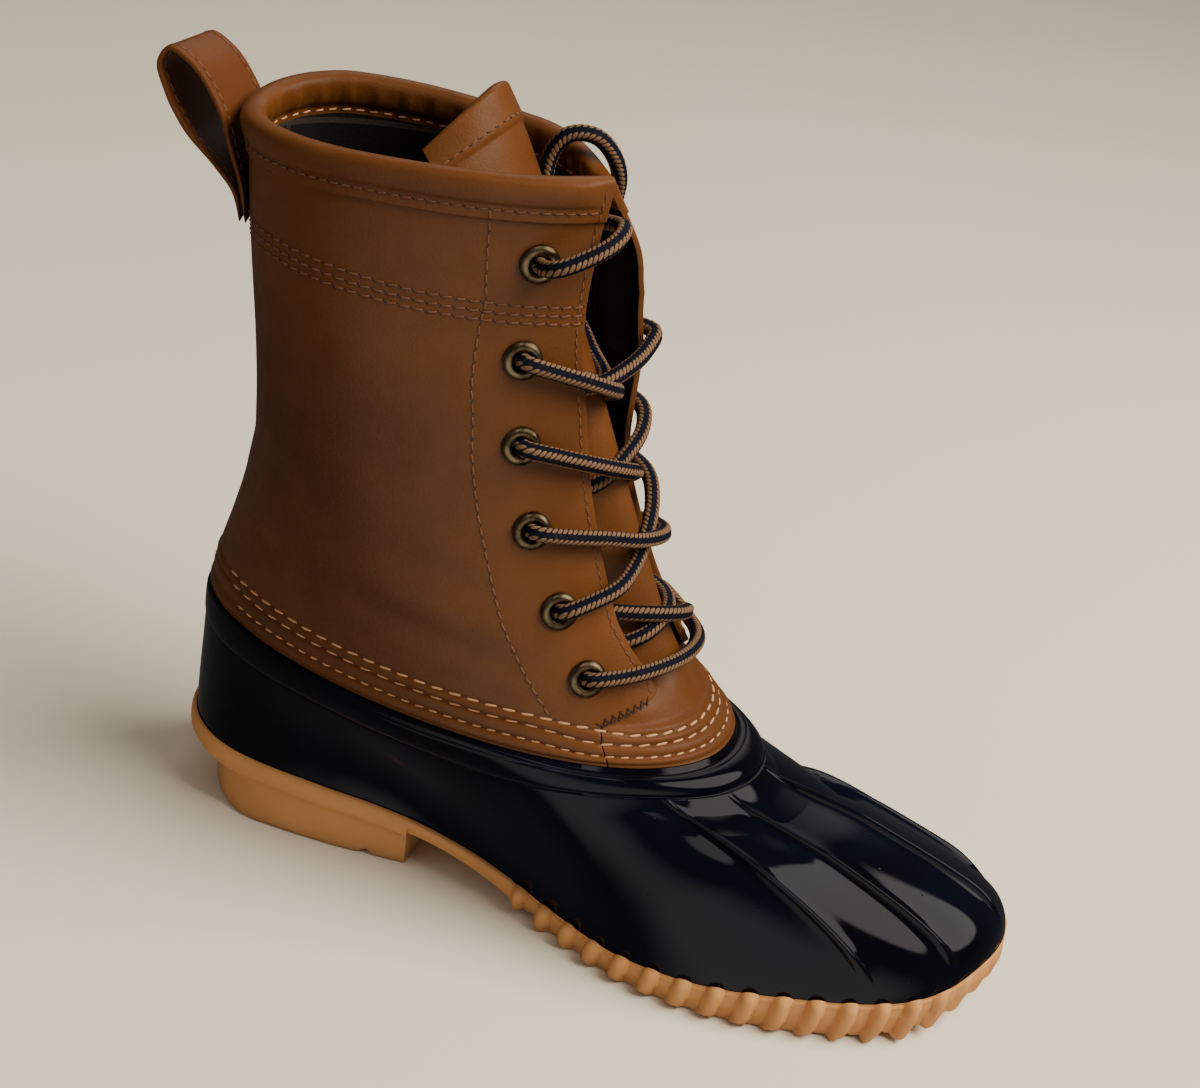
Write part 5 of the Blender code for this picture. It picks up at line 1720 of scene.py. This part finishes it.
@dataclass(frozen=True)
class Sewing:
    """How a row is sewn."""

    thread: Thread
    pitch: float                            # from one stitch to the next
    length: float                           # of one stitch
    thick: float                            # radius of the thread
    slant: float = 5.0                      # turn of each stitch from the line, in degrees
    zigzag: bool = False                    # every second stitch turns the other way


BAND_SEWING = (Sewing(Thread.BAND, 5.5, 4.2, 0.42, 6.0), Sewing(Thread.BAND, 5.8, 4.4, 0.42, 6.0),
               Sewing(Thread.BAND, 4.5, 3.3, 0.42, 6.0))
CUFF_SEWING = Sewing(Thread.SEAM, 3.7, 3.0, 0.30, 8.0)
FACING_SEWING = Sewing(Thread.SEAM, 3.7, 2.9, 0.28)
EDGE_SEWING = Sewing(Thread.SEAM, 3.3, 2.6, 0.26)
FOLD_SEWING = Sewing(Thread.SEAM, 3.3, 2.6, 0.27)
COLLAR_SEWING = Sewing(Thread.SEAM, 3.4, 2.7, 0.28)
LINING_SEWING = Sewing(Thread.BAND, 4.2, 2.8, 0.28)
CORNER_SEWING = Sewing(Thread.DARK, 1.2, 2.6, 0.26, 52.0, True)
BUTT_SEWING = Sewing(Thread.DARK, 2.3, 1.9, 0.26, 82.0)

# Where the seam behind the eyelets runs: level and distance from the flap's edge.
FACING = [(1.06, 31.8), (1.80, 35.2), (2.52, 37.2), (3.6, 36.6), (4.60, 35.8), (5.32, 34.3),
          (6.08, 30.1), (6.70, 33.6)]
CUFF = [(-1.0, 6.04), (50.0, 6.09), (93.0, 6.18)]   # upper row: distance and level
CUFF_DROPS = (0.0, -0.07, -0.14)


@dataclass
class Stitches:
    """Every sewn row: a plump capsule for each stitch and, at its ends, a small dark disc of painted
    shade for the needle hole.
    """

    body: Body = field(default_factory=Body)
    sides: int = 6
    reach: float = 0.6                      # the direction is read this far on both sides
    wobble: float = 0.05                    # uneven turn of the stitches
    count: int = 0

    def row(self, line: np.ndarray, out: np.ndarray, how: Sewing) -> None:
        """Sew one row along points on the leather, with the outward direction at each."""
        run = run_along(line)
        number = max(1, int(run[-1] / how.pitch))
        at = (np.arange(number) + 0.5) * run[-1] / number
        centre, ahead, behind = (np.column_stack([np.interp(at + gone, run, line[:, k])
                                                  for k in range(3)])
                                 for gone in (0.0, self.reach, -self.reach))
        up = unit(np.column_stack([np.interp(at, run, out[:, k]) for k in range(3)]))
        along = unit(ahead - behind)
        along = unit(along - up * (along * up).sum(axis=1, keepdims=True))
        across = np.cross(up, along)
        back = -1.0 if how.zigzag else 1.0
        turn = np.radians(how.slant) * np.where(np.arange(number) % 2, back, 1.0)
        turn = turn + self.wobble * np.sin(np.arange(number) * 2.4)
        forward = along * np.cos(turn)[:, None] + across * np.sin(turn)[:, None]
        sideways = np.cross(up, forward)
        axes = (centre, forward, sideways, up)
        self._capsules(axes, how)
        self._hole_shades(axes, 0.5 * how.length + 0.1, 0.9 * how.thick)
        self.count += number

    def _capsules(self, axes: tuple[np.ndarray, ...], how: Sewing) -> None:
        """Add the stitches themselves."""
        centre, forward, sideways, up = axes
        places = np.array([-0.5, -0.44, -0.30, 0.0, 0.30, 0.44, 0.5]) * how.length
        radii = np.array([0.15, 0.70, 0.95, 1.0, 0.95, 0.70, 0.15]) * how.thick
        lift = np.array([-0.6, -0.15, 0.25, 0.4, 0.25, -0.15, -0.6]) * how.thick
        turn = np.linspace(0, 2 * math.pi, self.sides, endpoint=False)
        f = np.repeat(places, self.sides)
        w = np.outer(radii, np.cos(turn)).ravel()
        h = np.outer(radii * 0.8, np.sin(turn)).ravel() + np.repeat(lift, self.sides)
        points = centre[:, None] + forward[:, None] * f[:, None] + sideways[:, None] * w[:, None] \
            + up[:, None] * h[:, None]
        each = len(f)
        first = self.body.add_points(points)
        quads = grid_faces(len(places), self.sides, closed=True)
        shift = first + each * np.arange(len(centre))
        self.body.add_faces((quads[None] + shift[:, None, None]).reshape(-1, 4), how.thread.value)

    def _hole_shades(self, axes: tuple[np.ndarray, ...], reach: float, radius: float) -> None:
        """Add dark discs at both ends of the stitches: painted shade of the needle holes."""
        centre, forward, sideways, up = axes
        turn = np.linspace(0, 2 * math.pi, self.sides, endpoint=False)
        for end in (-1.0, 1.0):
            middle = centre + forward * (end * reach) + up * 0.07
            rim = middle[:, None] + radius * (np.cos(turn)[None, :, None] * forward[:, None]
                                              + np.sin(turn)[None, :, None] * sideways[:, None])
            first = self.body.add_points(rim)
            ring = first + self.sides * np.arange(len(centre))[:, None] + np.arange(self.sides)
            self.body.add_faces(ring, Thread.HOLE_SHADE.value)

    @staticmethod
    def on_shaft(side: Side, levels: np.ndarray, distances: np.ndarray, inside: bool = False
                 ) -> tuple[np.ndarray, np.ndarray]:
        """Points on the leather's skin at levels and distances, and their outward directions."""
        points, normals = [], []
        quarters = LeatherQuarters()
        for level, distance in zip(np.asarray(levels, float), np.asarray(distances, float)):
            angle = SHAFT.side_angle(side, level, distance)
            normal = SHAFT.normal(level, angle)
            if distance < quarters.start(level):
                high = float(BAND.relief(level, np.array([distance]))[0])
                high -= VampAndTongue.recess * step_up(level, 0.86, 1.02)
            else:
                out, into = quarters.offsets(level, np.array([distance]))
                high = float(into[0] if inside else out[0])
            point = SHAFT.point(level, angle) + normal * high
            if side is Side.INNER:
                point = point + quarters.bend(level, distance, normal)
            points.append(point)
            normals.append(-normal if inside else normal)
        return np.array(points), np.array(normals)

    def sew_shaft(self) -> None:
        """Sew the shaft's rows."""
        distances = np.concatenate([np.arange(-24.0, 60.0, 2.0), np.arange(60.0, 151.0, 4.0)])
        for number, how in enumerate(BAND_SEWING):
            levels = BAND.level(number, distances)
            shown = distances < np.array([SHAFT.half_girth(level) for level in levels])
            inner, outer = (self.on_shaft(side, levels[shown], distances[shown])
                            for side in (Side.INNER, Side.OUTER))
            line, out = (np.vstack([back[::-1], front]) for back, front in zip(inner, outer))
            self.row(line, out, how)
        for side in Side:
            self._sew_side(side)

    def _sew_side(self, side: Side) -> None:
        """Sew the rows of one quarter."""
        for drop in CUFF_DROPS:
            distances = np.arange(1.2, SHAFT.half_girth(6.1), 2.5)
            levels = np.interp(distances, *zip(*CUFF)) + drop
            self.row(*self.on_shaft(side, levels, distances), CUFF_SEWING)
        levels = np.linspace(FACING[-1][0], FACING[0][0], 90)
        distances = np.interp(levels, *zip(*FACING))
        self.row(*self.on_shaft(side, levels, distances), FACING_SEWING)
        self._sew_edge(side, (6.88, 1.52, 110), 3.0, EDGE_SEWING)
        distances = np.arange(3.5, SHAFT.half_girth(6.79), 2.5)
        for below, inside, how in ((8.6, False, COLLAR_SEWING), (9.6, True, LINING_SEWING)):
            levels = np.full_like(distances, SHAFT.top_level - below / SHAFT.rise(6.9))
            self.row(*self.on_shaft(side, levels, distances, inside), how)
        self._sew_edge(side, (1.42, 0.97, 30), 1.5, CORNER_SEWING)
        self._sew_edge(side, (0.95, 0.03, 16), 0.1, BUTT_SEWING)

    def _sew_edge(self, side: Side, span: tuple[float, float, int], inset: float, how: Sewing
                  ) -> None:
        """Sew a row beside the quarter's edge, from one level down to another."""
        levels = np.linspace(*span)
        self.row(*self.on_shaft(side, levels, LeatherQuarters.start(levels) + inset), how)

    def sew_strap(self) -> None:
        """Sew the two long rows of the pull loop, on both faces of the strap."""
        loop = PullLoop()
        mid, half, push = loop.middle_sheet(np.array([-0.40, 0.40]) * loop.width, 60)
        for face in (-1.0, 1.0):
            skin = mid + face * push * half
            for column in (0, 1):
                out = np.broadcast_to(face * push[:, column], skin[:, column].shape)
                self.row(skin[:, column], out, EDGE_SEWING)

    def build(self, tongue_line: tuple[np.ndarray, np.ndarray],
              finishes: Sequence[bpy.types.Material]) -> bpy.types.Object:
        """Sew everything and dress the threads."""
        self.sew_shaft()
        self.sew_strap()
        self.row(*tongue_line, FOLD_SEWING)
        piece = self.body.finish("stitches", finishes, 70)
        LOG.info("stitches: %d", self.count)
        return place_piece(piece, None)


# ------------------------------------------------------------------ studio
@dataclass
class Studio:
    """Camera, floor and soft window light."""

    eye: tuple[float, ...] = (0.1940, -0.4830, 0.3907)
    target: tuple[float, ...] = (0.078, 0.0, 0.1189)
    roll: float = 10.4
    lens: float = 56.0
    dim: float = 0.08                       # the room's own light
    glow: Colour = (0.97, 0.93, 0.87)
    floor_half: float = 6.0
    aim: tuple[float, ...] = (0.06, 0.0, 0.10)
    # Name, place, size, power and colour of each lamp.
    lamps: tuple[tuple[str, tuple[float, ...], tuple[float, ...], float, tuple[float, ...]],
                 ...] = (
        ("window", (0.95, 0.05, 1.25), (1.1, 0.8), 40.0, (1.0, 0.97, 0.92)),
        ("room", (-0.7, -1.1, 1.1), (1.6, 1.2), 4.0, (1.0, 0.95, 0.90)))
    # Direction, inner and outer half angle in degrees, and strength of each bright patch.
    windows: tuple[tuple[tuple[float, ...], float, float, float], ...] = (
        ((0.82, 0.12, 0.70), 21.0, 25.0, 2.4),
        ((0.15, -0.35, 0.95), 9.0, 13.0, 1.3),
        ((-0.10, 0.90, 0.85), 4.0, 30.0, 0.9),
        ((0.35, -0.85, -0.30), 18.0, 48.0, 0.75))

    def camera(self) -> None:
        """Make the camera."""
        data = bpy.data.cameras.new("camera")
        data.lens = self.lens
        data.sensor_width = 36.0
        data.clip_start = 0.01
        made = add_object("camera", data)
        look = Vector(self.target) - Vector(self.eye)
        level = look.to_track_quat("-Z", "Y").to_matrix().to_4x4()
        turned = level @ Matrix.Rotation(math.radians(self.roll), 4, "Z")
        made.matrix_world = Matrix.Translation(Vector(self.eye)) @ turned
        bpy.context.scene.camera = made

    def floor(self) -> None:
        """Make a pale floor with painted shade: it darkens softly towards the camera's side, out of
        sight.
        """
        s = Shader("floor")
        pale = s.ramp(s.noise(2.0), [(0.3, (0.76, 0.665, 0.510)), (0.7, (0.80, 0.710, 0.560))])
        # Painted shade: the floor's colour goes dark towards the camera's side, beyond the frame.
        near = s.node("ShaderNodeSeparateXYZ", {0: s.position()}).outputs[1]
        s.set(Base_Color=s.mix(s.span(near, -0.32, -0.75), pale, (0.06, 0.055, 0.05)),
              Roughness=0.9)
        mesh = bpy.data.meshes.new("floor")
        signs = ((-1, -1), (1, -1), (1, 1), (-1, 1))
        mesh.from_pydata([(a * self.floor_half, b * self.floor_half, 0) for a, b in signs], [],
                         [(0, 1, 2, 3)])
        mesh.materials.append(s.material)
        made = add_object("floor", mesh)
        made.visible_glossy = False

    def light(self, name: str, place: tuple[float, ...], size: tuple[float, ...], power: float,
              colour: tuple[float, ...]) -> None:
        """Make one soft lamp that looks at the boot."""
        data = bpy.data.lights.new(name, "AREA")
        data.shape = "RECTANGLE"
        data.size, data.size_y = size
        data.energy = power
        data.color = colour
        made = add_object(name, data)
        made.visible_glossy = False
        made.location = place
        towards = Vector(self.aim) - Vector(place)
        made.rotation_euler = towards.to_track_quat("-Z", "Y").to_euler()

    def build(self) -> None:
        """Make the whole studio."""
        self.camera()
        self.floor()
        for lamp in self.lamps:
            self.light(*lamp)
        self.sky()

    def sky(self) -> None:
        """Make a dim room with soft bright windows, seen in the reflections."""
        world = bpy.data.worlds.new("world")
        world.use_nodes = True
        nodes = Nodes(world.node_tree)
        place = nodes.node("ShaderNodeTexCoord").outputs["Generated"]
        strength: object = self.dim
        for towards, inner, outer, power in self.windows:
            dot = nodes.node("ShaderNodeVectorMath", operation="DOT_PRODUCT",
                             inputs={0: place, 1: Vector(towards).normalized()})
            low, high = math.cos(math.radians(outer)), math.cos(math.radians(inner))
            span = nodes.node("ShaderNodeMapRange", interpolation_type="SMOOTHSTEP",
                              inputs={0: dot.outputs["Value"], 1: low, 2: high, 3: 0.0, 4: power})
            strength = nodes.math("ADD", span.outputs[0], strength)
        back = nodes.tree.nodes["Background"]
        nodes.feed(back.inputs[0], self.glow)
        nodes.feed(back.inputs[1], strength)
        bpy.context.scene.world = world


def main() -> None:
    """Build every piece in order."""
    logging.basicConfig(level=logging.INFO, format="%(name)s %(message)s")
    Studio().build()
    leather, cut, strap = LEATHER.make(), CUT_EDGE.make(), STRAP.make()
    rubber, gum, brass = RubberFinish().make(), GumFinish().make(), BrassFinish().make()
    felt, plaid = FeltFinish().make(), PlaidFinish().make()
    Lace().build()
    Outsole().build(gum)
    Insole().build(felt)
    RubberShell().build(rubber)
    LeatherQuarters().build(leather, plaid)
    tongue = VampAndTongue()
    tongue.build(leather)
    PullLoop().build(strap, cut)
    threads = [thread.make() for thread in (BAND_THREAD, SEAM_THREAD, DARK_THREAD, HOLE_SHADE)]
    Stitches().build(tongue.sewn_line, threads)
    Eyelets().build(brass)


if __name__ == "__main__":
    main()
